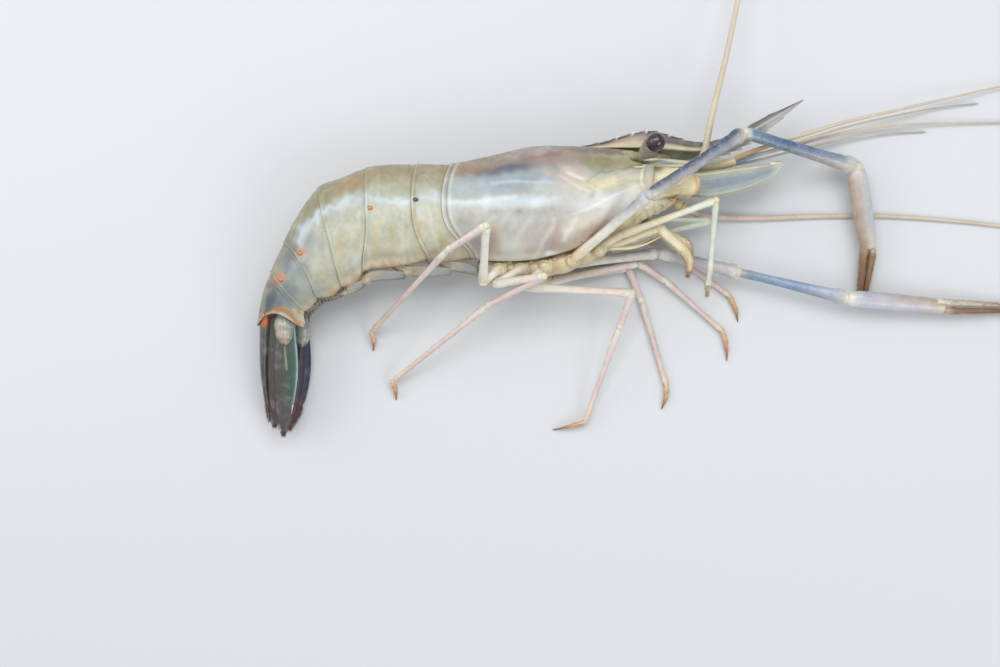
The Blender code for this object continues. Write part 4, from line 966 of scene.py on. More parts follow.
PINCER_RADII = (1.7, 1.5, 1.35, 1.05)
PINCER_REACH = {"leg_1_right": (-0.5, -9.6, -6.6), "leg_1_left": (-10.0, 0.2, 0.3)}
PINCER_RADIUS = 1.35
MAXILLIPEDS = {
    "right": ((39.5, 31.5, 22.0), (57.7, 38.8, 22.0), (67.2, 31.0, 19.5), (69.5, 21.0, 14.0)),
    "left": ((39.5, 32.5, 16.3), (57.0, 40.0, 16.0), (66.0, 34.6, 14.8), (70.0, 29.0, 12.6)),
}
MAXILLIPED_RADII = (1.9, 2.2, 1.9, 1.3)
CLAWS = {  # shoulder, end of the ischium, elbow, wrist, root of the fingers, finger tip
    "right": (
        (26.5, 27.0, 28.0), (52.5, 48.8, 42.4), (88.3, 72.9, 28.0), (133.3, 62.4, 8.6), (139.0, 31.7, 4.6),
        (136.4, 10.4, 2.0),
    ),
    "left": (
        (26.5, 26.0, 11.0), (59.1, 30.1, 10.2), (88.9, 23.1, 8.0), (129.6, 13.3, 8.6), (167.5, 10.1, 5.6),
        (196.5, 9.4, 2.2),
    ),
}
CLAW_RADII = {  # root, end of ischium, elbow, root of wrist, end of wrist, palm, root of fingers
    "right": (1.9, 2.25, 2.75, 2.2, 3.2, 3.9, 3.1), "left": (1.9, 2.2, 2.75, 1.6, 2.8, 3.3, 2.8),
}


def add_spine(form, root, heading, length, radius, tint, rows=8, sides=8):
    """A single straight spine."""
    form.add(cones(np.array([root]), np.array([heading]), length, radius, rows=rows, sides=sides), tint,
             pieces=True)


def segment_shape(s, collar=0.07):
    """A segment's radius along it as a share: domed ends, a waist, and a raised collar at the far joint."""
    domes = (dome(0.06 - s, 0.085) * dome(s - 0.95, 0.064))
    return domes * (0.85 + 0.15 * hill(s - 0.09, 0.12) + 0.15 * hill(s - 0.93, 0.12)
                    + collar * hill(s - 0.93, 0.022) - 0.8 * collar * hill(s - 0.875, 0.02))


def along_segment(count):
    """Places along a segment, closer together at its two joints."""
    t = np.linspace(0, 1, count)
    return -0.02 + 1.03 * (t - 0.6 * np.sin(TURN * t) / TURN)


def two_sided(s, sides, stops, other_stops):
    """Tints for a segment: a scale of colours along each of its two sides, blended round it."""
    share = ease(0.5 + 0.62 * np.cos(around(sides)))[:, None]
    return fade(s, *stops)[:, None] * share + fade(s, *other_stops)[:, None] * (1 - share)


def segment(form, start, end, root, far, stops, other=None, rows=52, sides=30, flat=0.92, collar=0.07,
            bow=None):
    """One segment of a limb, and the path and grid it was made from."""
    start, end = np.asarray(start, float), np.asarray(end, float)
    s = along_segment(rows)
    path = start + (end - start) * s[:, None]
    if bow is not None:
        path = path + np.sin(math.pi * np.clip(s, 0, 1))[:, None] * np.asarray(bow, float)
    radii = (root + (far - root) * s) * segment_shape(s, collar)
    grid = on_floor(sweep(path, radii, radii * flat, sides))
    form.add(grid, two_sided(s, sides, stops, other or stops))
    return path, grid


def add_clouded(form, grid, colour, patches, size, seed):
    """A grid of one colour with soft patches of another."""
    form.add(grid, paint(np.full(grid.shape, linear(colour)), 0.6 * cloud(drawn(grid), size, seed), patches))


def add_joint(form, centre, radius, tint, turns=24, rows=16):
    """A round joint between two segments."""
    form.add(ball(centre, (radius,) * 3, turns, rows), tint)


def talon(form, start, end, root, stops, bow, tip=0.1, rows=44, sides=20, flat=1.0):
    """A curved point: the radius falls from the root to the tip as one less s to the power 1.7."""
    start, end = np.asarray(start, float), np.asarray(end, float)
    s = np.linspace(-0.08, 1.0, rows)
    share = np.clip(s, 0, 1)
    path = start + (end - start) * s[:, None] + np.sin(math.pi * share)[:, None] * np.asarray(bow, float)
    radii = root * dome(0.04 - s, 0.13) * (1 - share**1.7 * 0.92) + tip * share
    grid = on_floor(sweep(path, radii, radii * flat, sides))
    form.add(grid, bands(s, sides, *stops))
    return path, grid


def scatter(path, grid, number, random, low=0.04, high=0.96, part=None):
    """Random places on a form's grid: the points, the outward directions and the directions along it.

    part limits the angle round it to a middle and a half-width, in turns. Also gives their places on
    an unwrap of the form.
    """
    rows, sides = grid.shape[:2]
    row = random.integers(int(low * rows), max(int(high * rows), int(low * rows) + 1), number)
    if part is None:
        side = random.integers(0, sides, number)
    else:
        middle, half = part
        side = np.round((middle + random.uniform(-half, half, number)) * sides).astype(int) % sides
    roots = grid[row, side]
    out = unit(roots - path[row])
    along = unit(np.gradient(path, axis=0))[row]
    return roots, out, along, np.stack([row / rows, side / sides], axis=-1)


def spinules(form, made, number, length, radius, tint, random, low=0.06, high=0.94, lean=0.9, part=None):
    """Small spines set over a segment, leaning towards its far end."""
    roots, out, along, _ = scatter(*made, number, random, low, high, part)
    size = random.uniform(0.6, 1.15, number)
    form.add(cones(roots - out * radius * 0.5, out + along * lean, length * size, radius * size, rows=4,
                   sides=4), tint, pieces=True)


def hairs(form, made, number, length, radius, tint, random, low=0.06, high=0.94, lean=1.0, part=None,
          droop=0.2, end_tint=None):
    """Fine bristles set over a segment, leaning and bending towards its far end, each with its own patch."""
    roots, out, along, spots = scatter(*made, number, random, low, high, part)
    size = random.uniform(0.6, 1.2, number)
    heads = unit(out + along * lean + random.normal(0, 0.18, (number, 3)))
    grid = cones(roots - heads * radius, heads, length * size, radius,
                 along * (droop * length * size)[:, None], rows=4, sides=3)
    end_tint = tint if end_tint is None else end_tint
    form.add(on_floor(grid), bands(np.linspace(0, 1, 4), 3, (0, tint), (1, end_tint)), pieces=True,
             spots=spots)


THORAX = (  # the middle line of the chest's floor, half its height and half its width
    (-8.0, 24.6, 17.9, 2.2, 4.5), (-3.0, 24.2, 18.4, 3.4, 6.5), (8.0, 23.8, 19.0, 4.0, 7.2),
    (20.0, 25.6, 19.0, 4.2, 7.2), (30.0, 29.6, 19.0, 4.4, 7.0), (40.0, 36.0, 19.0, 4.6, 6.6),
    (48.0, 43.0, 19.0, 4.6, 6.0), (53.0, 49.5, 19.0, 3.6, 4.4),
)
THORAX_RIDGES = 9
COXA_TINTS = ((0, TAN), (0.3, (208, 190, 152)), (0.7, (214, 202, 174)), (1, (206, 192, 162)))


def make_thorax():
    """The floor of the chest: ridged plates between the legs, and the stubs that carry them."""
    rows, sides = 150, 48
    shape = curve(THORAX, rows)
    along = np.linspace(0, 1, rows)
    wave = np.sin(along * TURN * THORAX_RIDGES)
    ridge = 1 + 0.05 * wave
    grid = sweep(shape[:, :3], shape[:, 3] * ridge, shape[:, 4] * ridge, sides)
    tint = bands(along, sides, (0, CREAM), (0.3, (210, 200, 170)), (0.6, (214, 196, 152)), (1, CREAM))
    tint = paint(tint, 0.6 * (0.5 - 0.5 * wave)[:, None] * np.ones(sides), (188, 152, 108))
    form = Form().add(grid, tint)
    for x, y in COXAE:
        for sign in (1, -1):
            inner, outer = (x + 0.5, y + 1.4, BODY_Z + sign * 2.0), (x - 0.3, y - 0.9, BODY_Z + sign * 8.2)
            segment(form, inner, outer, 2.75, 2.6, COXA_TINTS, rows=30, sides=28, collar=0.1)
            add_clouded(form, ball((x - 0.2, y - 0.6, BODY_Z + sign * 7.6), (2.5, 2.4, 1.9), 30, 20),
                        (204, 190, 158), (190, 160, 118), 5, 80)
            form.add(ball((x + 1.6, y + 1.0, BODY_Z + sign * 6.6), (1.1, 1.3, 1.2), 20, 12), (214, 194, 158))
            inner, outer = (x + 3.6, y + 2.2, BODY_Z + sign * 3.0), (x + 3.4, y + 1.6, BODY_Z + sign * 6.8)
            segment(form, inner, outer, 1.2, 1.0, ((0, TAN), (1, (208, 180, 138))), rows=16, sides=16)
    form.make("thorax_floor_plates", CREAM_FINISH, "cream", "thorax_floor")


BLUSH = tone(222, 206, 198)
WALKING_TINTS = (  # along each segment
    ((0, CREAM), (0.5, IVORY), (1, (220, 206, 180))),
    ((0, IVORY), (0.2, (228, 220, 206)), (0.85, BLUSH), (1, IVORY)),
    ((0, IVORY), (0.15, BLUSH), (0.8, (218, 198, 192)), (1, IVORY)),
    ((0, IVORY), (0.12, BLUSH), (0.6, (216, 192, 188)), (0.9, (220, 202, 184)), (1, (224, 202, 170))),
)
WALKING_CLAW_TINTS = ((0, (220, 190, 156)), (0.4, (206, 156, 112)), (0.85, (150, 98, 58)), (1, (96, 62, 40)))
WALKING_HAIRS = (8, 26, 20, 90)  # on each segment


def make_walking_leg(name, random):
    """A walking leg: four segments with a cream joint between each two, and a curved claw."""
    joints = np.array(LEGS[name])
    form, coat = Form(), Form()
    scales = list(WALKING_TINTS)
    if name == "leg_5_right":
        scales[1] = ((0, CREAM), (0.3, IVORY), (1, IVORY))
    for number, stops in enumerate(scales):
        # painted shade: one side of each segment takes a darker copy of its colours, warmed a little with tan
        side_stops = tuple((s, linear(c) * 0.86 + 0.06 * TAN) for s, c in stops)
        radius, next_radius = WALKING_RADII[number:number + 2]
        made = segment(form, joints[number], joints[number + 1], radius, next_radius, stops, side_stops,
                       rows=70 if number else 34, sides=28)
        hairs(coat, made, WALKING_HAIRS[number], 0.8, 0.06, (150, 128, 108), random, 0.1, 0.95, 1.3)
        if number:
            add_joint(form, joints[number], 0.86 * radius, (226, 212, 182))
            across = unit(np.cross(joints[number + 1] - joints[number], joints[number] - joints[number - 1]))
            for sign in (1, -1):
                centre = joints[number] + sign * across * radius * 0.62
                add_joint(form, centre, 0.42 * radius, (224, 212, 192), 16, 10)
    add_joint(form, joints[4], 0.9 * WALKING_RADII[4], (222, 196, 160), 20, 14)
    bow = (0.6, 0.0, 0.9) if name.endswith("right") else (0.6, 0.0, 0.3)
    made = talon(form, joints[4], joints[5], 0.88, WALKING_CLAW_TINTS, bow)
    hairs(coat, made, 70, 0.9, 0.05, (150, 110, 78), random, 0.1, 0.7, 1.4)
    form.make(name + "_shell", PINK_FINISH, "pink", name)
    coat.make(name + "_bristles", HAIR_FINISH, "pink")


PINCER_TINTS = ((0, CREAM), (0.12, (212, 219, 208)), (0.85, (218, 223, 212)), (1, (226, 219, 196)))
PINCER_SIDE_TINTS = ((0, (206, 198, 164)), (0.15, (198, 208, 194)), (0.9, (204, 210, 192)), (1, CREAM))
CREAM_REACH = (1.0, 0.55)  # how far the near leg is cream along its first segments


def creamy(stops, reach, colour):
    """A scale whose first part is cream, up to reach, and turns to a colour on the way."""
    return ((0, CREAM), (0.8 * reach, colour)) + tuple(stop for stop in stops if stop[0] > reach)


def make_pincer_leg(name, random):
    """The first leg: slender, pale green, with a small pincer that carries brushes of hair."""
    joints = np.array(LEGS[name])
    form, coat = Form(), Form()
    for number in range(3):
        stops, side_stops = PINCER_TINTS, PINCER_SIDE_TINTS
        if name == "leg_1_right" and number < len(CREAM_REACH):
            reach = CREAM_REACH[number]
            stops = creamy(stops, reach, (228, 220, 194))
            side_stops = creamy(side_stops, reach, (222, 208, 174))
        made = segment(form, joints[number], joints[number + 1], PINCER_RADII[number],
                       PINCER_RADII[number + 1], stops, side_stops, rows=66, sides=28)
        hairs(coat, made, 24, 0.8, 0.05, (170, 160, 128), random, 0.1, 0.95, 1.3)
        if number:
            add_joint(form, joints[number], 0.92 * PINCER_RADII[number], (226, 212, 170))
    hand, reach = joints[3], np.array(PINCER_REACH[name])
    add_joint(form, hand, 0.95 * PINCER_RADII[3], (226, 212, 170))
    made = segment(form, hand, hand + reach * 0.55, PINCER_RADII[3], PINCER_RADIUS,
                   ((0, CREAM), (0.3, (210, 218, 206)), (1, (214, 216, 200))), rows=44, sides=26, collar=0.0)
    hairs(coat, made, 80, 0.9, 0.05, (184, 168, 132), random, 0.3, 0.98, 1.4)
    spread = unit(np.cross(reach, (0.0, 0.0, 1.0))) * PINCER_RADIUS * 0.42
    for sign in (1, -1):
        made = talon(form, hand + reach * 0.5 + sign * spread, hand + reach + sign * spread * 0.45,
                     PINCER_RADIUS * 0.6, ((0, MINT), (0.6, (214, 206, 180)), (1, (190, 150, 104))),
                     -0.3 * sign * spread, sides=18)
        hairs(coat, made, 130, 1.2, 0.05, (180, 160, 124), random, 0.15, 0.98, 1.6)
    form.make(name + "_shell", MINT_FINISH, "pale_green", name)
    coat.make(name + "_bristles", HAIR_FINISH, "pale_green")


def make_maxilliped(side, random):
    """The outermost leg of the mouth: three flat segments, the last one hairy, and a thin outer branch."""
    joints, sign = np.array(MAXILLIPEDS[side]), SIGNS[side]
    form, coat = Form(), Form()
    for number in range(2):
        radius, next_radius = MAXILLIPED_RADII[number:number + 2]
        made = segment(form, joints[number], joints[number + 1], radius, next_radius,
                       ((0, CREAM), (0.4, (230, 220, 192)), (1, (228, 214, 180))),
                       ((0, (220, 212, 184)), (1, (216, 200, 164))), rows=64, sides=32, flat=0.8)
        hairs(coat, made, 260, 1.3, 0.055, (214, 198, 160), random, 0.08, 0.95, 1.2, (0.0, 0.14))
        hairs(coat, made, 50, 0.8, 0.05, (214, 198, 160), random, 0.1, 0.95, 1.2)
        add_joint(form, joints[number + 1], 0.9 * next_radius, (224, 206, 158))
    made = talon(form, joints[2], joints[3], MAXILLIPED_RADII[2] * 0.9,
                 ((0, (228, 216, 180)), (0.7, (222, 204, 162)), (0.9, (156, 116, 78)), (1, (66, 44, 32))),
                 (1.6, 0.6, 0.8), tip=0.5, flat=0.85)
    hairs(coat, made, 420, 1.2, 0.05, (204, 178, 132), random, 0.12, 0.99, 1.3, None, 0.2, (134, 96, 62))
    root = joints[0] + (joints[1] - joints[0]) * 0.1 + (0.0, -1.2, 1.4 * sign)
    talon(form, root, joints[1] + (1.0, -3.4, 1.0 * sign), 0.55, ((0, CREAM), (1, (210, 190, 150))),
          (0.0, -1.6, 0.6), tip=0.12, sides=12)
    form.make(f"maxilliped_{side}_shell", CREAM_FINISH, "cream", "maxilliped_" + side)
    coat.make(f"maxilliped_{side}_bristles", HAIR_FINISH, "cream")


ISCHIUM_PALE = tone(196, 194, 206)
ISCHIUM_TINTS = (
    ((0, (222, 206, 166)), (0.35, IVORY), (0.8, (216, 210, 200)), (1, (210, 204, 192))),
    ((0, (216, 192, 150)), (0.3, (218, 212, 200)), (0.85, (158, 158, 168)), (1, ISCHIUM_PALE)),
)
LEFT_WRIST_TINTS = (
    (0, (204, 182, 168)), (0.12, (132, 154, 174)), (0.5, (134, 154, 182)), (0.85, (172, 176, 192)),
    (1, (206, 202, 192)),
)
CLAW_TINTS = {  # along the one side of each piece, and along the other
    "right": {
        "arm": (
            ((0, (206, 198, 188)), (0.3, (176, 168, 170)), (0.8, (150, 154, 164)), (1, (206, 200, 182))),
            (
                (0, (164, 162, 168)), (0.05, (84, 92, 114)), (0.5, (48, 62, 90)), (0.92, (52, 74, 102)),
                (1, (190, 186, 170)),
            ),
        ),
        "wrist": (
            (
                (0, IVORY), (0.08, (120, 136, 150)), (0.35, (104, 118, 138)), (0.7, (166, 158, 156)),
                (1, (212, 200, 184)),
            ),
            (
                (0, IVORY), (0.07, (98, 128, 152)), (0.4, (56, 88, 124)), (0.8, (104, 134, 160)),
                (1, (206, 208, 194)),
            ),
        ),
        "palm": (
            ((0, (208, 200, 186)), (0.2, (184, 166, 150)), (0.7, (178, 156, 138)), (1, (164, 138, 110))),
            ((0, (208, 208, 194)), (0.1, (186, 190, 190)), (0.6, (178, 182, 186)), (1, (196, 190, 180))),
        ),
    },
    "left": {
        "arm": (
            ((0, IVORY), (0.3, (198, 188, 190)), (0.8, (186, 178, 186)), (1, (210, 200, 186))),
            ((0, IVORY), (0.4, (160, 156, 176)), (1, (196, 188, 184))),
        ),
        # painted shade: one side of the left wrist is a darker copy of its colours
        "wrist": (tuple((s, linear(c) * 0.85) for s, c in LEFT_WRIST_TINTS), LEFT_WRIST_TINTS),
        "palm": (
            ((0, IVORY), (0.2, (192, 192, 204)), (0.7, (192, 186, 194)), (1, (206, 196, 182))),
            ((0, IVORY), (0.2, (176, 176, 186)), (0.6, (174, 162, 152)), (1, (170, 142, 112))),
        ),
    },
}
FINGER_BROWN = (
    (0, (176, 156, 132)), (0.15, (146, 112, 80)), (0.6, (122, 88, 60)), (0.92, (90, 62, 44)),
    (1, (60, 42, 32)),
)
FINGER_PALE = ((0, (214, 208, 196)), (0.4, (206, 198, 184)), (0.9, (176, 156, 130)), (1, (110, 84, 62)))
# The half width along a finger, as a share of the knuckle's radius.
FINGER_WIDTHS = ((-0.12, 0.0, 0.5, 0.9, 0.97, 1.0), (0.5, 0.46, 0.36, 0.24, 0.16, 0.05))
FINGER_TEETH = ((0.13, 0.03, 0.1), (0.27, 0.035, 0.11), (0.34, 0.012, 0.04))  # where, how wide, how high
FINGER_HEIGHT = 1.5  # over the half width


def make_claw(side, random):
    """A great claw: blue arm and wrist set with small spines, a pale palm, and velvety brown fingers."""
    shoulder, ischium, elbow, wrist, knuckle, tip = (np.array(p) for p in CLAWS[side])
    root, r_ischium, r_elbow, r_root, r_wrist, r_palm, r_knuckle = CLAW_RADII[side]
    tints = CLAW_TINTS[side]
    form = Form()
    made = segment(form, shoulder, ischium, root, r_ischium, *ISCHIUM_TINTS, 84, 36)
    spinules(form, made, 130, 0.3, 0.16, ISCHIUM_PALE, random)
    made = segment(form, ischium, elbow, r_ischium, r_elbow, *tints["arm"], 110, 40)
    spinules(form, made, 430, 0.34, 0.17, (186, 190, 208), random)
    add_joint(form, ischium, 0.88 * r_ischium, (184, 180, 182), 28, 18)
    add_joint(form, elbow, 0.8 * r_elbow, (206, 198, 178), 28, 18)
    across = unit(np.cross(wrist - elbow, ischium - elbow))
    for sign in (1, -1):
        add_joint(form, elbow + sign * across * r_elbow * 0.66, 1.0, (224, 216, 192), 20, 14)
    form.make(f"claw_arm_{side}_shell", BLUE_FINISH, "blue", "claw_arm_" + side)

    form = Form()
    made = segment(form, elbow, wrist, r_root, r_wrist, *tints["wrist"], 120, 40, collar=0.09)
    spinules(form, made, 520, 0.36, 0.18, (178, 200, 216), random)
    add_joint(form, wrist, 0.82 * r_wrist, (216, 204, 180), 28, 18)
    form.make(f"claw_wrist_{side}_shell", BLUE_FINISH, "blue", "claw_wrist_" + side)
    make_hand(side, wrist, knuckle, tip, r_palm, r_knuckle, random)


def make_hand(side, wrist, knuckle, tip, r_palm, r_knuckle, random):
    """The palm with its fixed finger, and the moving finger, closed tooth to tooth."""
    right = side == "right"
    form, coat = Form(), Form()
    rows, sides = 110, 44
    s = np.clip(along_segment(rows), 0.0, 1.0)
    keys = ((0.0, 0.5), (0.05, 0.82), (0.15, 0.97), (0.45, 1.0), (0.8, 0.9), (1.0, 0.86 * r_knuckle / r_palm))
    radii = r_palm * np.interp(s, *np.transpose(keys)) * (1 - 0.6 * ease((s - 0.985) / 0.015))
    radii = smoothed(radii, 3, mode="edge") * (1 + 0.03 * hill(s - 0.93, 0.03))
    overlap = np.linspace(-0.3, 0.3, rows)[:, None]
    path = wrist + (knuckle - wrist) * s[:, None] + unit(knuckle - wrist) * overlap
    grid = on_floor(sweep(path, radii, radii * 0.86, sides))
    form.add(grid, two_sided(s, sides, *CLAW_TINTS[side]["palm"]))
    spinules(form, (path, grid), 440, 0.3, 0.17, (206, 206, 208), random)

    reach = tip - knuckle
    out = unit(np.cross(reach, (0.0, 0.0, 1.0)))
    rows, sides, skipped = 150, 28, 12  # the moving finger leaves out the rows inside the palm
    s = np.linspace(-0.12, 1.0, rows)
    narrow = np.interp(s, *FINGER_WIDTHS) * r_knuckle
    hook = -0.5 * r_knuckle * ease((s - 0.86) / 0.14) * 0.25
    angle = around(sides)
    for sign, name in ((SIGNS[side], "palm"), (-SIGNS[side], "finger")):
        kept = slice(0 if name == "palm" else skipped, None)
        offset = (narrow + 0.13 + hook)[:, None] * out * sign
        path = (knuckle + reach * s[:, None] + offset)[kept]
        width, share = narrow[kept], np.clip(s[kept], 0, 1)
        if name == "finger":
            width = width * dome(0.03 - s[kept], 0.08, 0.02)
        facing = math.pi if sign > 0 else 0.0
        inner = hill(angle[None] - facing, 0.5) + hill(angle[None] - TURN, 0.5) * (sign < 0)
        teeth = sum(hill(share - place, wide) * high for place, wide, high in FINGER_TEETH)
        wide = width[:, None] * (1 + (teeth[:, None] - 0.04) * inner)
        grid = on_floor(sweep(path, wide, width[:, None] * np.full(sides, FINGER_HEIGHT), sides))
        target = form if name == "palm" else Form()
        target.add(grid, bands(share, sides, *(FINGER_BROWN if right or name == "finger" else FINGER_PALE)))
        spinules(target, (path, grid), 120, 0.22, 0.13, (170, 146, 116), random, 0.1, 0.9)
        outer = (0.0 if sign > 0 else 0.5, 0.36)
        hairs(coat, (path, grid), 900, 0.75, 0.06, (150, 116, 80), random, 0.08, 0.93, 0.9, outer, 0.25,
              (186, 152, 108))
        if name == "finger":
            target.make(f"claw_finger_{side}_shell", FINGER_FINISH, "finger", "claw_finger_" + side)
    form.make(f"claw_palm_{side}_shell", PALM_FINISH, "palm", "claw_palm_" + side)
    coat.make(f"claw_{side}_velvet", HAIR_FINISH, "finger")


make_thorax()
for number, name in enumerate(LEGS):
    dice = np.random.default_rng(40 + number)
    if name in PINCER_REACH:
        make_pincer_leg(name, dice)
    else:
        make_walking_leg(name, dice)
for number, side in enumerate(SIGNS):
    make_maxilliped(side, np.random.default_rng(60 + number))
    make_claw(side, np.random.default_rng(70 + number))


# The head: the rostrum, eyes, antennules, antennae with their scales, and the mouth.

ROSTRUM = np.array([  # X, the Y of the upper edge, side ridge and lower edge, and half the thickness
    (29.8, 68.9, 68.0, 66.6, 1.2), (38.6, 70.5, 68.3, 66.4, 2.2), (47.8, 73.2, 68.3, 66.1, 2.6),
    (55.9, 74.4, 68.2, 65.0, 2.4), (63.0, 72.6, 67.8, 64.1, 1.9), (74.0, 70.2, 67.4, 63.9, 1.4),
    (85.7, 73.0, 70.3, 67.3, 1.15), (97.0, 79.3, 76.9, 74.0, 0.95), (111.5, 86.1, 85.8, 85.5, 0.3),
])
EYE_AT, EYE_RADII = (56.2, 69.1, 30.3), (3.7, 3.5, 3.4)
EYESTALK = ((51.4, 63.4, 23.0), (53.0, 65.4, 25.4), (54.9, 67.9, 28.6))
ANTENNULE = ((51.0, 60.6, 21.8), (60.0, 61.6, 22.0), (72.0, 61.2, 21.8), (80.0, 61.8, 21.8),
             (86.4, 63.2, 21.9))
ANTENNULE_RADII = (2.3, 2.5, 1.9, 1.7, 1.4)
ANTENNA_BASE = ((50.0, 56.5, 21.5), (57.8, 56.2, 24.0), (66.0, 55.2, 25.0), (72.6, 54.2, 25.2))
ANTENNA_BASE_RADII = (3.0, 4.6, 4.9, 4.0)
STALKS = {
    "right": ((62.0, 54.5, 25.5), (68.5, 58.8, 26.0), (72.6, 62.4, 26.4)),
    "left": ((60.0, 52.0, 12.6), (65.0, 49.0, 11.8), (68.6, 46.8, 10.8)),
}
SCALE_EDGE = ((66.0, 57.6, 27.6), (98.8, 61.6, 28.4))
SCALE_TILT = math.radians(40)
SCALE_WIDTH = 11.0
SCALE_SHAPE = ((0.0, 0.6), (0.12, 0.85), (0.3, 1.0), (0.6, 0.9), (0.85, 0.6), (0.95, 0.34), (1.0, 0.06))
SCALE_RIBS = ((0.82, 0.07, 0.34), (0.35, 0.05, 0.14), (-0.1, 0.04, 0.08), (-0.5, 0.04, 0.06),
              (0.96, 0.04, 0.2))
SCALE_TINTS = (  # across the blade, from its inner edge at -1 to its stiff edge at 1
    (-1, (196, 200, 190)), (-0.6, (168, 178, 178)), (-0.1, (144, 156, 166)), (0.45, (158, 166, 168)),
    (0.68, (186, 188, 166)), (0.84, (202, 198, 166)), (1, (160, 160, 132)),
)
JAWS = np.array([
    (46.0, 43.0, 19.0, 3.4, 3.0), (50.0, 45.5, 19.0, 4.4, 4.6), (54.5, 47.4, 19.0, 4.4, 4.8),
    (59.0, 48.2, 19.0, 3.6, 3.8), (63.0, 48.0, 19.0, 1.2, 1.4),
])
FEELERS = {
    "antenna_right": (
        (
            (71.6, 61.4, 26.3), (74.4, 66.6, 25.8), (77.3, 79.7, 24.0), (83.1, 101.0, 18.0),
            (88.7, 124.8, 12.0), (94.0, 151.0, 8.0), (105.0, 180.0, 5.0), (125.0, 206.0, 3.0),
            (153.0, 223.0, 1.6), (186.0, 229.5, 0.7), (214.0, 229.0, 0.45),
        ),
        1.25,
    ),
    "antenna_left": (
        (
            (68.0, 47.2, 11.0), (71.6, 45.6, 7.8), (76.0, 44.5, 4.6), (82.0, 43.9, 2.6), (98.0, 43.7, 1.2),
            (125.0, 44.5, 0.8), (151.7, 44.2, 0.7), (189.7, 40.8, 0.65), (222.0, 35.0, 0.6),
            (252.0, 25.5, 0.55), (280.0, 11.5, 0.5), (300.5, -5.0, 0.4),
        ),
        1.15,
    ),
    "antennule_outer_right": (
        (
            (85.4, 63.6, 22.5), (95.6, 67.9, 19.6), (110.2, 73.0, 15.2), (129.7, 79.1, 11.0),
            (149.2, 83.9, 7.0), (169.0, 88.8, 4.2), (188.7, 93.4, 2.2), (208.0, 97.0, 1.0),
            (226.0, 98.4, 0.45),
        ),
        0.95,
    ),
    "antennule_inner_right": (
        (
            (85.2, 62.1, 21.0), (97.0, 66.4, 17.8), (113.5, 72.0, 13.0), (130.0, 77.4, 8.6),
            (148.0, 81.9, 4.6), (166.0, 85.6, 1.8), (182.0, 87.4, 0.5),
        ),
        0.6,
    ),
    "antennule_outer_left": (
        (
            (85.4, 63.7, 15.5), (108.0, 69.9, 9.6), (123.5, 74.0, 7.0), (139.2, 77.4, 4.4),
            (158.5, 79.4, 2.4), (189.4, 80.0, 1.0), (207.0, 79.0, 0.7), (222.0, 76.4, 0.45),
        ),
        0.8,
    ),
    "antennule_inner_left": (
        (
            (85.2, 62.1, 17.0), (98.0, 64.9, 12.4), (112.0, 69.0, 7.0), (127.0, 72.6, 3.4),
            (145.0, 75.6, 1.4), (162.0, 76.6, 0.5),
        ),
        0.55,
    ),
}
FEELER_STEP = 0.175  # between two rows of points
FEELER_RING = 0.7
FEELER_TIP = 0.28  # the radius at the tip
FEELER_TINTS = {  # at the root and at the tip
    "antenna_right": ((214, 202, 174), (184, 174, 158)), "antenna_left": ((222, 202, 186), (196, 182, 172)),
    "antennule_outer_right": ((206, 170, 132), (186, 176, 158)),
    "antennule_outer_left": ((160, 176, 192), (176, 174, 168)),
}
INNER_FEELER_TINTS = ((160, 176, 192), (176, 174, 164))


ROSTRUM_TINTS = (  # across the blade, from its lower edge at -1 to its upper edge at 1
    (-1, (92, 92, 74)), (-0.55, (90, 90, 68)), (-0.12, (98, 94, 70)), (0.03, (190, 182, 146)),
    (0.18, (200, 192, 158)), (0.42, (120, 110, 92)), (0.62, (48, 42, 40)), (1, BLACK),
)
THINNEST_ROSTRUM = 0.26
TOOTH_WIDTH = 0.034  # as a share of the blade's length
UPPER_TEETH, LOWER_TEETH = (0.09, 0.9, 12, 2.6), (0.58, 0.93, 9, 3.0)  # first, last, count, length


def tooth_wave(place, first, last, count, length):
    """How far each place of an edge stands out: every tooth is a slow ramp up and then a steep fall."""
    centres = first + (last - first) * np.linspace(0, 1, count) ** 0.92
    wave = np.zeros(len(place))
    for number, centre in enumerate(centres):
        width = TOOTH_WIDTH * (1 - 0.25 * number / count)
        rise = np.clip((place - centre + width) / width, 0, 1) ** 1.6
        fall = np.clip(1 - (place - centre) / (0.32 * width), 0, 1) ** 0.8
        wave = np.maximum(wave, np.minimum(rise, fall) * length * (1 - 0.4 * number / count))
    return wave


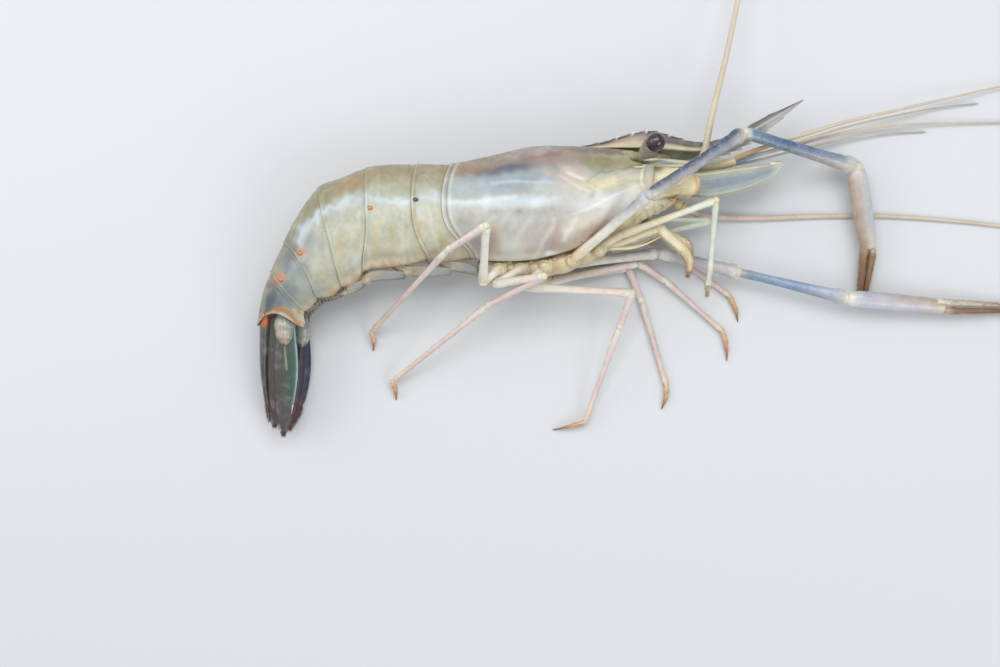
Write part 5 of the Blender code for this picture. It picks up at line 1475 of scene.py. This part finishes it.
def make_rostrum(random):
    """The toothed blade of the head: a ridged section carried along it, its edges drawn out into teeth.

    A tooth moves its points both outwards and forwards, so that it hooks towards the tip.
    """
    rows, sides = 620, 44
    at = np.linspace(0, len(ROSTRUM) - 1, rows)
    x, top, ridge, bottom, half = spline(ROSTRUM, at).T
    half = np.maximum(half, THINNEST_ROSTRUM)
    place = at / at[-1]
    forward = unit(np.gradient(np.stack([x, top], axis=-1), axis=0))
    upper, lower = (tooth_wave(place, *teeth) for teeth in (UPPER_TEETH, LOWER_TEETH))
    angle = around(sides)
    up, across = np.cos(angle), np.sin(angle)
    tall = np.where(up > 0, up * (top - ridge)[:, None], up * (ridge - bottom)[:, None])
    thin = np.abs(across) * (0.24 + 0.76 * hill(up, 0.34)) * half[:, None]
    rib = 0.16 * hill(up - 0.34, 0.07) * half[:, None] - 0.1 * hill(up - 0.2, 0.06) * half[:, None]
    reach = np.maximum(up, 0)[None] ** 6 * upper[:, None] - np.maximum(-up, 0)[None] ** 6 * lower[:, None]
    lead = np.abs(reach)
    grid = np.stack([
        x[:, None] + lead * 0.85 * forward[:, :1] - reach * 0.5 * forward[:, 1:],
        ridge[:, None] + tall + reach * 0.5 * forward[:, :1] + lead * 0.85 * forward[:, 1:],
        BODY_Z + np.sign(across) * (thin + rib * (np.abs(across) > 0.2)),
    ], axis=-1)
    share = np.broadcast_to(up, (rows, sides))
    along = np.broadcast_to(place[:, None], (rows, sides))
    tint = fade(share, *ROSTRUM_TINTS)
    tint = paint(tint, 0.9 * ease((along - 0.6) / 0.12) * ease((0.75 - share) / 0.4), (158, 158, 156))
    tint = paint(tint, 0.8 * ease((along - 0.6) / 0.1) * hill(share - 0.5, 0.16), (96, 88, 80))
    tint = paint(tint, 0.8 * hill(along - 0.24, 0.13) * hill(share - 0.4, 0.34), (222, 198, 170))
    tint = paint(tint, 0.9 * ease(np.abs(reach) / 0.8 - 0.55), (214, 212, 200))
    form = Form().add(grid, tint)
    add_brow(form)
    form.make("rostrum_blade", HEAD_FINISH, "head_shell", "rostrum")

    coat = Form()
    index = np.arange(rows)
    for edge, sign, first, last, number in ((top, 1, 0.1, 0.92, 420), (bottom, -1, 0.5, 0.94, 260)):
        row = random.uniform(first, last, number) * (rows - 1)
        foot = np.stack([np.interp(row, index, v) for v in (x, edge)], axis=-1)
        ahead = np.stack([np.interp(row, index, v) for v in forward.T], axis=-1)
        heads = ahead * 1.1 + sign * 0.7 * np.stack([-ahead[:, 1], ahead[:, 0]], axis=-1)
        roots = np.column_stack([foot, BODY_Z + random.normal(0, 0.14, number)])
        heads = np.column_stack([heads, random.normal(0, 0.22, number)])
        spots = np.stack([row / rows, np.full(number, 0.5 + 0.3 * sign)], axis=-1)
        coat.add(cones(roots - 0.15 * unit(heads), heads, random.uniform(0.6, 1.1, number), 0.05, rows=4,
                       sides=3), (150, 140, 116), pieces=True, spots=spots)
    coat.make("rostrum_bristles", HAIR_FINISH, "head_shell")


def add_brow(form):
    """The block under the rostrum that closes the hollow of the eyes, and a mound behind each eye."""
    rows, sides = 60, 48
    t = np.linspace(0, 1, rows)
    line = np.array((43.0, 63.0, BODY_Z)) + t[:, None] * (20.0, 0.8, 0.0)
    end = dome(t - 0.8, 0.21, 0.02)
    grid = sweep(line, (3.6 - 1.2 * t) * end, (6.2 - 3.2 * t) * end, sides)
    add_clouded(form, grid, (124, 120, 92), (164, 158, 126), 9, 60)
    for sign in (1, -1):
        grid = ball((46.6, 64.2, BODY_Z + sign * 4.2), (5.2, 2.7, 4.4), 40, 28)
        add_clouded(form, grid, (142, 136, 102), (164, 156, 122), 8, 61)


EYE_TINTS = (  # from the stalk to the front
    (0, (150, 140, 128)), (0.16, (92, 80, 84)), (0.24, (40, 29, 36)), (0.6, (44, 31, 40)), (1, (30, 21, 30)),
)


def make_eye(side):
    """The cornea, a faceted ellipsoid with a pale rim, and the stalk that carries it."""
    rows, sides = 60, 44
    path = curve(side_of(EYESTALK, side), rows)
    look = unit(path[-1] - path[0])
    turns, circles = 80, 56
    grid = ball(side_of(EYE_AT, side), EYE_RADII, turns, circles, look, (0.0, 1.0, 0.3))
    tint = bands(np.linspace(0, 1, circles), turns, *EYE_TINTS)
    tint = paint(tint, 0.5 * cloud(drawn(grid), 7, 40), (92, 70, 78))
    Form().add(grid, tint).make("eye_ball_" + side, EYE_FINISH, "eye", "eye_" + side)
    s = np.linspace(0, 1, rows)
    radii = 2.3 * (1.12 + 0.3 * s - 0.06 * hill(s - 0.45, 0.2)) * (1 + 0.05 * hill(s - 0.86, 0.03))
    grid = sweep(path, radii, radii * 0.96, sides)
    tint = two_sided(s, sides, ((0, (150, 142, 118)), (0.6, (150, 142, 130)), (1, (120, 112, 108))),
                     ((0, (176, 166, 138)), (0.6, (172, 162, 148)), (1, (130, 120, 114))))
    tint = paint(tint, 0.6 * cloud(drawn(grid), 5, 70), (116, 108, 98))
    spot = np.linalg.norm(grid - (path[rows // 2] + (-1.6, 0.6, 1.4 * SIGNS[side])), axis=-1)
    tint = paint(tint, 0.9 * hill(spot, 0.9), (70, 62, 58))
    Form().add(grid, tint).make("eyestalk_skin_" + side, HEAD_FINISH, "head_shell", "eyestalk_" + side)


def make_feeler(name):
    """A feeler: rings on a thin tapering tube, narrowed at each joint, with its tip closed."""
    keys, root = FEELERS[name]
    rough = curve(keys, 600)
    length = np.concatenate([[0], np.cumsum(np.linalg.norm(np.diff(rough, axis=0), axis=1))])
    run = np.arange(0, length[-1], FEELER_STEP)
    path = np.stack([smoothed(np.interp(run, length, line), 8, **CARRIED_ON) for line in rough.T], axis=-1)
    share = run / run[-1]
    radii = FEELER_TIP + (root - FEELER_TIP) * (1 - share) ** 1.3
    radii = radii * (0.6 + 0.4 * ease(run / 1.2)) * (0.25 + 0.75 * ease((1 - share) * 60))
    path[:, 2] = np.maximum(path[:, 2], radii * 0.9)
    joint = np.abs((run / FEELER_RING + 0.5) % 1 - 0.5)
    ringed = radii * (1 + 0.05 * (1 - hill(joint, 0.13)) - 0.09 * hill(joint, 0.13))
    sides = 10
    grid = on_floor(sweep(path, ringed, ringed, sides))
    base, end = FEELER_TINTS.get(name, INNER_FEELER_TINTS)
    tint = fade(share, (0, base), (0.06, base), (0.2, (214, 200, 180)), (0.6, (210, 196, 178)), (1, end))
    tint = paint(tint, 0.1 * ease((np.sin(run / 5.6) + 0.2) / 0.6), (176, 160, 130))
    form = Form().add(grid, np.repeat(tint[:, None], sides, axis=1), run)
    form.make(name + "_feeler", FEELER_FINISH, "feeler", name)


def leaf_grid(path, half_widths, thickness, across, rows_of_ribs, sides=72):
    """A thin blade: a flat ellipse carried along a path, with ribs raised on each face at given cosines."""
    along = unit(np.gradient(path, axis=0))
    across = np.asarray(across, float) - along * (np.asarray(across, float) * along).sum(1)[:, None]
    across = unit(across)
    normal = np.cross(along, across)
    angle = around(sides)
    level = np.sign(np.sin(angle)) * np.abs(np.sin(angle)) ** 0.5 * thickness / 2
    rib = sum(height * hill(np.cos(angle) - place, width) for place, width, height in rows_of_ribs)
    fall = np.clip(half_widths / half_widths.max(), 0.25, 1.0)[:, None]
    lift = fall * (level + rib * np.sign(np.sin(angle)))
    return (path[:, None] + across[:, None] * (half_widths[:, None] * np.cos(angle))[..., None]
            + normal[:, None] * lift[..., None])


def fringe(form, path, grid, number, length, tint, random, low, high, sides=(0.0, 0.5), lean=1.4,
           end_tint=None):
    """Fine hairs set close along a blade's edges, leaning towards its tip."""
    for side in sides:
        hairs(form, (path, grid), number, length, 0.045, tint, random, low, high, lean, (side, 0.012), 0.15,
              end_tint)


ANTENNULE_MARKS = (
    (0.9, (666, 163), (11, 2.6, 8), (104, 120, 142)),
    (0.8, ((652, 158), (676, 161), (700, 163), (720, 161)), 0.9, (226, 220, 190)),
    (0.8, (684, 165), (5, 2), (150, 156, 120)),
)
ANTENNA_MARKS = (
    (0.8, (658, 168), (6, 4), (120, 80, 48)),
    (0.8, (664, 176), (5, 6), (206, 208, 160)),
    (0.8, (672, 192), (9, 7), (224, 206, 158)),
    (0.64, ((693, 172), (697, 184), (695, 196)), 1.8, (212, 158, 100)),
)


def make_antennule(side):
    """The three joints under the eye that carry the small feelers, with an outer spine and a hollow above."""
    rows, sides = 170, 44
    s = np.linspace(0, 1, rows)
    at = s * (len(ANTENNULE) - 1)
    path = spline(side_of(ANTENNULE, side), at)
    radii = np.interp(at, range(len(ANTENNULE)), ANTENNULE_RADII)
    joints = sum(hill(at - j, 0.07) for j in (2.0, 3.0)) * 0.16
    collars = sum(hill(at - j, 0.08) for j in (1.86, 2.86, 3.8)) * 0.1
    radii = radii * (1 - joints + collars) * dome(s - 0.97, 0.034, 0.02)
    outward = 0.25 if side == "right" else 0.75
    aside = (around(sides) / TURN - outward + 0.5) % 1 - 0.5
    hollow = 0.16 * hill(s - 0.3, 0.16)[:, None] * hill(aside, 0.09)
    grid = sweep(path, radii[:, None] * (1 - hollow), radii[:, None] * 0.92 * (1 - hollow), sides)
    tint = two_sided(s, sides, ((0, (202, 192, 158)), (0.5, (216, 206, 172)), (1, (222, 204, 164))),
                     ((0, (182, 176, 146)), (0.5, (168, 170, 150)), (1, (216, 200, 162))))
    form = Form().add(grid, marked(tint, drawn(grid), ANTENNULE_MARKS))
    sign = SIGNS[side]
    talon(form, path[30] + (0.0, -0.4, 1.9 * sign), path[78] + (2.0, -0.2, 3.4 * sign), 0.7,
          ((0, (178, 170, 136)), (0.7, (196, 188, 156)), (1, (206, 200, 176))), (0.0, 0.0, 0.5 * sign),
          sides=16)
    form.make(f"antennule_{side}_joints", CREAM_FINISH, "cream", "antennule_base_" + side)


def make_antenna_base(side, random):
    """The thick joints that carry an antenna: a swollen base with a spine, and the stalk's three rings."""
    rows, sides = 120, 52
    s = np.linspace(0, 1, rows)
    at = s * (len(ANTENNA_BASE) - 1)
    path = spline(side_of(ANTENNA_BASE, side), at)
    rings = 1 + 0.05 * hill(s - 0.86, 0.05) - 0.09 * hill(s - 0.66, 0.035) + 0.05 * hill(s - 0.58, 0.04)
    radii = np.interp(at, range(len(ANTENNA_BASE)), ANTENNA_BASE_RADII) * rings * dome(s - 0.9, 0.11, 0.02)
    grid = sweep(path, radii, radii * 0.72, sides)
    tint = two_sided(s, sides, ((0, (206, 196, 160)), (0.5, (222, 212, 176)), (1, (220, 204, 164))),
                     ((0, (196, 186, 146)), (0.5, (214, 206, 172)), (1, (222, 208, 168))))
    form = Form().add(grid, marked(tint, drawn(grid), ANTENNA_MARKS))
    rows, sides = 90, 36
    t = np.linspace(0, 1, rows)
    rings = 0.96 + 0.05 * np.cos(TURN * 3 * t) - 0.14 * hill(t - 0.5, 0.04) - 0.12 * hill(t - 0.8, 0.03)
    size = 2.0 * rings * dome(t - 0.92, 0.09, 0.03)
    form.add(sweep(curve(STALKS[side], rows), size, size, sides),
             bands(t, sides, (0, CREAM), (0.45, (222, 196, 140)), (0.55, CREAM), (0.85, (216, 180, 120)),
                   (1, CREAM)))
    talon(form, side_of((60.0, 53.6, 29.0), side), side_of((67.6, 52.6, 31.4), side), 0.8,
          ((0, (204, 192, 152)), (1, CREAM)), (0.0, 0.0, 0.5 * SIGNS[side]), sides=16)
    form.make(f"antenna_{side}_base", CREAM_FINISH, "cream", "antenna_base_" + side)
    make_antenna_scale(side, random)


def make_antenna_scale(side, random):
    """The broad blade beside an antenna: a stiff edge that ends in a spine, and a hair fringe inside."""
    rows, sides = 150, 96
    s = np.linspace(0, 1, rows)
    edge = side_of(SCALE_EDGE, side)
    edge = edge[0] + (edge[1] - edge[0]) * s[:, None] / 0.9
    widths = smoothed(SCALE_WIDTH * np.interp(s, *np.transpose(SCALE_SHAPE)), 6, **CARRIED_ON)
    across = np.array((-0.06, math.cos(SCALE_TILT), SIGNS[side] * math.sin(SCALE_TILT)))
    path = edge - across * widths[:, None] / 2
    grid = leaf_grid(path, np.maximum(widths / 2, 0.25), 0.75, across, SCALE_RIBS, sides)
    cosine = np.broadcast_to(np.cos(around(sides)), grid.shape[:2])
    along = np.broadcast_to(s[:, None], cosine.shape)
    tint = fade(cosine, *SCALE_TINTS)
    tint = paint(tint, 0.8 * ease((0.3 - along) / 0.28), (212, 208, 178))
    tint = paint(tint, 0.7 * ease((along - 0.86) / 0.12), (212, 210, 190))
    form = Form().add(grid, tint)
    add_spine(form, edge[130], edge[130] - edge[100], 4.2, 0.55, IVORY, 10, 12)
    form.make("antenna_scale_blade_" + side, TAIL_PALE_FINISH, "cream", "antenna_scale_" + side)
    coat = Form()
    fringe(coat, path, grid, 520, 1.7, (212, 208, 190), random, 0.12, 0.99, (0.5,), 1.2, (224, 222, 210))
    fringe(coat, path, grid, 90, 1.5, (196, 188, 152), random, 0.93, 0.99, (0.0,), 1.6)
    coat.make("antenna_scale_fringe_" + side, HAIR_FINISH, "cream")


def make_mouth(random):
    """The jaws: a packed mass, with overlapping lobes on each side, small palps and a beard of bristles."""
    rows, sides = 90, 48
    shape = curve(JAWS, rows)
    s = np.linspace(0, 1, rows)
    folds = 1 + 0.05 * np.sin(s * TURN * 5)
    form, coat = Form(), Form()
    form.add(sweep(shape[:, :3], shape[:, 3] * folds, shape[:, 4] * folds, sides), bands(
        s, sides, (0, CREAM), (0.4, (226, 218, 192)), (0.7, (224, 214, 184)), (1, (214, 196, 158))))
    rows, sides = 44, 28
    t = np.linspace(0, 1, rows)
    for side, sign in SIGNS.items():
        for number in range(4):
            start = np.array((45.0 + 3.2 * number, 41.6 + 1.7 * number,
                              BODY_Z + sign * (4.6 - 0.35 * number)))
            end = start + (8.4 - number, 2.4 - 0.8 * number, -sign * 0.9)
            bow = np.sin(math.pi * t)[:, None] * (0, -0.9, sign * 0.5)
            path = start + (end - start) * t[:, None] + bow
            widths = (1.9 - 0.2 * number) * np.sin(math.pi * (0.06 + 0.92 * t)) ** 0.6
            blade = leaf_grid(path, widths, 0.8, (0.3, 1.0, sign * 0.2), ((0.0, 0.16, 0.12),), sides)
            form.add(blade, bands(t, sides, (0, CREAM), (0.6, (226, 216, 184)), (1, (204, 180, 136))))
            hairs(coat, (path, blade), 90, 0.8, 0.045, (212, 198, 166), random, 0.5, 0.98, 1.1, None, 0.3)
        talon(form, side_of((56.0, 49.6, 23.0), side), side_of((64.6, 50.4, 22.4), side), 1.5,
              ((0, CREAM), (0.7, (206, 200, 160)), (1, (150, 110, 70))), (0.0, 1.0, sign * 0.8), tip=0.3)
    form.make("mouth_lobes", CREAM_FINISH, "cream", "mouthparts")
    coat.make("mouth_bristles", HAIR_FINISH, "cream")


# The tail fan and the swimmerets.

TELSON = ((-87.2, 9.0, 11.6), (-87.4, 3.6, 10.6), (-88.0, -14.0, 9.6), (-86.4, -33.0, 8.4))
BLADES = {  # root, shoulder, middle, near the tip, tip; half widths; how far the inner edge is raised
    "uropod_outer_right": (
        (
            (-79.2, 7.5, 14.6), (-79.2, 0.0, 15.4), (-79.4, -13.0, 14.6), (-80.2, -27.0, 12.4),
            (-81.0, -38.2, 10.0),
        ),
        (2.2, 3.5, 4.6, 3.3, 0.3), 0.2,
    ),
    "uropod_inner_right": (
        (
            (-83.2, 9.0, 12.4), (-83.6, -1.0, 12.2), (-83.3, -14.0, 11.4), (-83.7, -26.0, 10.0),
            (-84.4, -35.0, 8.6),
        ),
        (2.0, 2.9, 3.1, 2.3, 0.4), 0.12,
    ),
    "uropod_inner_left": (
        (
            (-82.0, 4.0, 8.2), (-82.4, -3.0, 7.6), (-82.4, -14.0, 6.6), (-82.8, -25.0, 5.6),
            (-83.2, -34.0, 4.6),
        ),
        (2.2, 2.8, 3.5, 2.5, 0.4), -0.12,
    ),
    "uropod_outer_left": (
        (
            (-75.2, 4.6, 6.0), (-75.2, -2.0, 5.0), (-76.0, -14.0, 3.8), (-77.6, -26.0, 2.6),
            (-80.2, -36.5, 1.4),
        ),
        (2.0, 3.4, 4.4, 3.4, 0.5), -0.14,
    ),
}
STUBS = {
    "uropod_outer_right": ((-80.4, 9.4, 14.0), (-79.4, -5.0, 15.4), 3.7),
    "uropod_outer_left": ((-74.2, 7.6, 6.6), (-74.6, -5.6, 4.9), 3.0),
}
SWIMMERETS = {  # where each starts and ends, in stations, and how far its middle line drops below the belly
    1: (6.75, 5.6, 8.6), 2: (8.35, 6.4, 8.8), 3: (10.1, 7.9, 8.4), 4: (11.7, 9.7, 6.6), 5: (13.2, 11.4, 4.8),
}
ROOT_ROWS, BLADE_START = 38, 16  # where the root ends on a swimmeret's path, and where its blades start
# A swimmeret's two blades: out from the middle line, half width, and raised towards the back.
PADDLES = ((0.9, 2.2, 0.5), (-0.9, 1.9, -0.4))
PADDLE_RIBS = ((0.0, 0.1, 0.14), (0.5, 0.06, 0.06))
PADDLE_TINTS = ((0, (206, 186, 146)), (0.35, (190, 182, 160)), (0.7, (172, 174, 168)), (1, (164, 168, 166)))
BLADE_TINTS = {  # across the blade, from its inner edge at -1 to its outer edge at 1
    "uropod_outer_right": (
        (-1, (40, 44, 54)), (-0.8, (78, 72, 70)), (-0.3, (72, 72, 64)), (0.1, (70, 78, 66)),
        (0.4, (58, 82, 66)), (0.7, (60, 88, 78)), (0.86, (84, 114, 110)), (0.95, (140, 164, 164)),
        (1, (160, 180, 180)),
    ),
    "uropod_inner_right": (
        (-1, (92, 80, 60)), (-0.3, (76, 72, 62)), (0.0, (84, 78, 68)), (0.5, (66, 64, 64)), (1, (38, 40, 52)),
    ),
    "uropod_inner_left": ((-1, (60, 48, 50)), (0, (72, 58, 58)), (1, (54, 38, 42))),
    "uropod_outer_left": ((-1, (62, 44, 46)), (0, (60, 50, 62)), (0.6, (46, 50, 74)), (1, (40, 48, 78))),
}


TELSON_MARKS = (
    (0.6, ((271, 335), (270, 352), (267, 372)), 0.9, (176, 184, 178)),
    (0.9, (261, 321), (4.5, 6), (214, 118, 52)),
)
BLADE_RIBS = (
    (0.0, 0.05, 0.3), (0.16, 0.04, 0.16), (-0.34, 0.04, 0.1), (0.5, 0.04, 0.1), (0.93, 0.06, 0.16),
    (-0.7, 0.04, 0.06),
)
SIDE_OF_TAIL = {  # the end of a blade, and its hairs
    "right": ((86, 74, 80), (96, 82, 80)), "left": ((92, 40, 34), (110, 56, 50)),
}
FRINGE_END = tone(130, 108, 98)


def make_telson(random):
    """The middle of the tail: a tapering keel with two pairs of small spines, a pointed end and a fringe."""
    rows, sides = 150, 56
    s = np.linspace(0, 1, rows)
    path = curve(TELSON, rows)
    wide = np.interp(s, (0, 0.5, 1), (4.6, 3.8, 1.1)) * dome(s - 0.93, 0.075, 0.02)
    thick = np.interp(s, (0, 0.15, 0.5, 1), (2.0, 2.5, 2.0, 0.7)) * (0.4 + 0.6 * np.clip((1 - s) * 8, 0, 1))
    groove = 1 - 0.12 * hill(np.cos(around(sides))[None] + 1, 0.2) * ease((s - 0.05) / 0.2)[:, None]
    grid = sweep(path, thick[:, None] * groove, wide[:, None] * np.ones(sides), sides)
    tint = two_sided(s, sides,
                     ((0, (120, 110, 88)), (0.25, (88, 84, 74)), (0.7, TAIL_GREY), (1, (84, 62, 52))),
                     ((0, (96, 100, 96)), (0.3, (70, 74, 74)), (0.8, (60, 58, 58)), (1, (74, 56, 48))))
    form, coat = Form().add(grid, marked(tint, drawn(grid), TELSON_MARKS)), Form()
    for place in (0.55, 0.78):
        row = int(place * (rows - 1))
        for sign in (1, -1):
            root = path[row] + (-0.8 * thick[row], 0.0, sign * 0.5 * wide[row])
            add_spine(form, root, (-0.25, -1.0, sign * 0.1), 1.6, 0.24, IVORY)
    for reach, length in ((0.45, 3.4), (0.8, 1.8)):
        for sign in (1, -1):
            add_spine(form, path[140] + (0.0, 0.0, sign * reach * wide[140]), (0.08, -1.0, sign * 0.12),
                      length, 0.26, (200, 190, 170))
    hairs(coat, (path, grid), 320, 1.5, 0.05, (110, 84, 72), random, 0.88, 0.99, 2.0, None, 0.15,
          (140, 104, 88))
    form.make("telson_plate", TAIL_FINISH, "tail", "telson")
    coat.make("telson_fringe", HAIR_FINISH, "tail")


def make_tail_blade(name, random):
    """A blade of the tail fan: a ribbed leaf with a hair fringe. An outer one has a seam and a spine."""
    keys, widths, tilt = BLADES[name]
    end_tint, hair = SIDE_OF_TAIL[name.split("_")[-1]]
    rows, sides = 190, 100
    at = np.linspace(0, len(keys) - 1, rows)
    s = at / at[-1]
    path, half = spline(keys, at), spline(np.array(widths)[:, None], at)[:, 0]
    half = half * dome(s - 0.9, 0.102, 0.02) + 0.1
    outer = name in STUBS
    grid = leaf_grid(path, half, 0.8, (1.0, 0.0, tilt), BLADE_RIBS, sides)
    cosine = np.broadcast_to(np.cos(around(sides)), grid.shape[:2])
    along = np.broadcast_to(s[:, None], cosine.shape)
    past_seam = along - 0.72 - 0.05 * cosine
    if outer:
        grid = grid + (grid.mean(1, keepdims=True) - grid) * (0.12 * hill(past_seam, 0.008))[..., None]
    tint = paint(fade(cosine, *BLADE_TINTS[name]), 0.8 * ease((along - 0.6) / 0.24), end_tint)
    if name == "uropod_outer_right":
        tint = marked(tint, drawn(grid), ((0.8, ((282, 345), (283, 358), (284, 370)), 0.8, (160, 168, 150)),))
    tint = paint(tint, 0.7 * ease((0.2 - along) / 0.16), (110, 112, 100))
    if outer:
        tint = paint(tint, 0.35 * hill(past_seam, 0.01), (120, 112, 116))
    form, coat = Form().add(on_floor(grid), tint), Form()
    if outer:
        add_stub(form, *STUBS[name])
        root = grid[int(0.74 * (rows - 1)), 0] - (0.3, 0, 0)
        add_spine(form, root, (-0.12, -1.0, 0.0), 3.4, 0.3, (196, 202, 198), 10, 10)
    fringe(coat, path, grid, 420, 1.5, hair, random, 0.3, 0.99, (0.5,), 2.4, FRINGE_END)
    fringe(coat, path, grid, 300, 1.4, hair, random, 0.76 if outer else 0.4, 0.99, (0.0,), 2.4, FRINGE_END)
    hairs(coat, (path, grid), 260, 0.9, 0.045, hair, random, 0.955, 0.995, 2.0, None, 0.15)
    form.make(name + "_blade", TAIL_FINISH, "tail", name)
    coat.make(name + "_fringe", HAIR_FINISH, "tail")


def add_stub(form, start, end, radius):
    """The short, swollen root joint that carries a pair of tail blades."""
    rows, sides = 70, 48
    start, end = np.array(start), np.array(end)
    t = np.linspace(0, 1, rows)
    line = start + (end - start) * (0.02 + 0.96 * t)[:, None]
    size = radius * np.sqrt(np.clip(1 - (2 * t - 1) ** 2, 0.01, 1)) * (1 + 0.04 * np.sin(t * 19))
    knob = on_floor(sweep(line, size, size * 0.98, sides))
    spot = drawn(knob)
    tint = bands(t, sides, (0, (140, 136, 118)), (0.4, (166, 170, 158)), (0.75, (134, 140, 118)),
                 (1, (84, 96, 82)))
    orange = stroke(wander(spot, 0.9, 6), ((277, 327), (281, 334), (285, 344)), 1.9)
    tint = paint(tint, 0.9 * orange, (190, 122, 72))
    tint = paint(tint, 0.5 * cloud(spot, 6, 50), (196, 200, 196))
    form.add(knob, paint(tint, 0.7 * dab(spot, 300, 326, 6, 9), (140, 140, 152)))


def belly_point(at, drop, across):
    """A point a distance below the hollow underside, out from the middle plane."""
    middle, half, _, height = station(np.asarray(at, float))
    tall = np.linalg.norm(half, axis=-1)[..., None]
    flat = middle - half / tall * (tall - BELLY_HOLLOW + np.asarray(drop, float)[..., None])
    return np.concatenate([flat, (height + across)[..., None]], axis=-1)


def make_swimmerets(random):
    """The paddles folded forward along the belly: on each a stout root, two fringed blades and a fine rim."""
    rows, sides = 80, 32
    t = np.linspace(0, 1, rows)
    fall = np.interp(t, (0, 0.1, 0.3, 0.6, 0.85, 1.0), (-0.05, 0.5, 0.8, 0.88, 0.95, 1.0))
    size = np.interp(t, (0, 0.12, 0.3, 0.4, 0.46), (1.3, 1.9, 1.7, 1.2, 0.3))[:ROOT_ROWS]
    for number, (start, end, drop) in SWIMMERETS.items():
        for side, sign in SIGNS.items():
            form, coat = Form(), Form()
            path = belly_point(start + (end - start) * t, fall * drop, sign * 4.0 * np.ones(rows))
            form.add(sweep(path[:ROOT_ROWS], size * 0.95, size, sides),
                     bands(t[:ROOT_ROWS], sides, (0, TAN), (0.1, (198, 180, 146)), (0.46, (188, 180, 156))))
            for shift, width, lift in PADDLES:
                line = path[BLADE_START:] + (0.0, lift, sign * shift)
                share = np.linspace(0, 1, len(line))
                widths = width * np.sin(math.pi * (0.12 + 0.86 * share)) ** 0.4
                blade = leaf_grid(line, widths, 0.7, (0.1, 0.55, sign * 0.85), PADDLE_RIBS, sides)
                form.add(blade, bands(share, sides, *PADDLE_TINTS))
                fringe(coat, line, blade, 90, 1.8, (176, 168, 140), random, 0.2, 0.99, (0.0, 0.5), 1.3)
            name = f"swimmeret_{number}_{side}"
            form.make(name + "_blades", CREAM_FINISH, "cream", name)
            coat.make(name + "_fringe", HAIR_FINISH, "cream")


def make_belly_comb(random):
    """Dark bristles in small bunches along the rings' lower edges, longest under the fourth and fifth."""
    coat = Form()
    for low, high, number, length in ((6.9, 10.6, 300, 0.9), (10.6, 14.8, 760, 2.2)):
        for sign in (1, -1):
            at = random.uniform(low, high, number)
            at = at + 0.05 * np.sin(at * TURN * 4.5)
            angle = sign * (EDGE_ANGLE + random.uniform(-0.03, 0.07, number))
            roots = trunk_point(at, angle, 0.1, drop=0.6)
            heads = unit(roots - trunk_point(at, angle * 0.93, -4.0))
            heads = heads + unit(trunk_point(at - 0.1, angle) - trunk_point(at, angle)) * -0.5
            heads = heads + random.normal(0, 0.12, heads.shape)
            grid = cones(roots - 0.3 * unit(heads), heads, length * random.uniform(0.5, 1.1, number), 0.05,
                         rows=5, sides=3)
            spots = np.stack([at / 16, (angle / TURN) % 1], axis=-1)
            coat.add(on_floor(grid), bands(np.linspace(0, 1, 5), 3, (0, (136, 118, 86)), (1, (62, 54, 46))),
                     pieces=True, spots=spots)
    coat.make("belly_edge_bristles", HAIR_FINISH, "shell")


make_rostrum(np.random.default_rng(11))
for number, side in enumerate(SIGNS):
    make_eye(side)
    make_antennule(side)
    make_antenna_base(side, np.random.default_rng(20 + number))
for name in FEELERS:
    make_feeler(name)
make_mouth(np.random.default_rng(30))
make_telson(np.random.default_rng(31))
for number, name in enumerate(BLADES):
    make_tail_blade(name, np.random.default_rng(80 + number))
make_swimmerets(np.random.default_rng(90))
make_belly_comb(np.random.default_rng(91))


# The floor, the light and the camera, in metres from the model's origin.

FLOOR_REACH = 3.0
FLOOR_GAP = 0.0002  # how far the floor lies below the animal
SOFT_BOXES = (  # place, power, width and height
    ((-0.1, 0.25, 0.75), 4.0, 0.9, 0.4), ((0.5, -0.5, 0.6), 2.2, 0.5, 0.5), ((-0.7, 0.1, 0.4), 1.2, 0.5, 0.3),
)
LIT_POINT = (-0.03, 0.0, 0.02)
FOCAL_LENGTH, SENSOR_WIDTH = 56.84, 36.0  # mm


def make_stage():
    """A plain pale floor, soft light from above, and the camera straight over the animal."""
    scene = bpy.context.scene
    mesh = bpy.data.meshes.new("floor")
    mesh.from_pydata([(x * FLOOR_REACH, y * FLOOR_REACH, 0) for x, y in ((-1, -1), (1, -1), (1, 1), (-1, 1))],
                     [], [(0, 1, 2, 3)])
    floor = bpy.data.objects.new("floor", mesh)
    floor.location.z = -FLOOR_GAP
    made, tree, shader = material("floor")
    wire(tree, shader, Base_Color=(0.62, 0.63, 0.645, 1.0), Roughness=0.75)
    mesh.materials.append(made)
    scene.collection.objects.link(floor)
    scene.world = bpy.data.worlds.new("studio")
    scene.world.use_nodes = True
    sky = scene.world.node_tree
    wire(sky, sky.nodes["Background"], Color=(0.92, 0.96, 1.0, 1.0), Strength=0.62)
    for place, power, wide, tall in SOFT_BOXES:
        lamp = bpy.data.lights.new("soft box", "AREA")
        lamp.energy, lamp.shape, lamp.size, lamp.size_y = power, "RECTANGLE", wide, tall
        box = bpy.data.objects.new("soft box", lamp)
        box.location = place
        x, y, z = np.array(LIT_POINT) - place
        box.rotation_euler = (math.atan2(math.hypot(x, y), -z), 0.0, math.atan2(x, -y) + math.pi)
        scene.collection.objects.link(box)
    lens = bpy.data.cameras.new("camera")
    lens.lens, lens.sensor_width, lens.clip_start = FOCAL_LENGTH, SENSOR_WIDTH, 0.01
    camera = bpy.data.objects.new("camera", lens)
    camera.location = (-MIDDLE[0] * MM, -MIDDLE[1] * MM, VIEW_HEIGHT * MM)
    scene.collection.objects.link(camera)
    scene.camera = camera
    scene.view_settings.view_transform = "Standard"


make_stage()
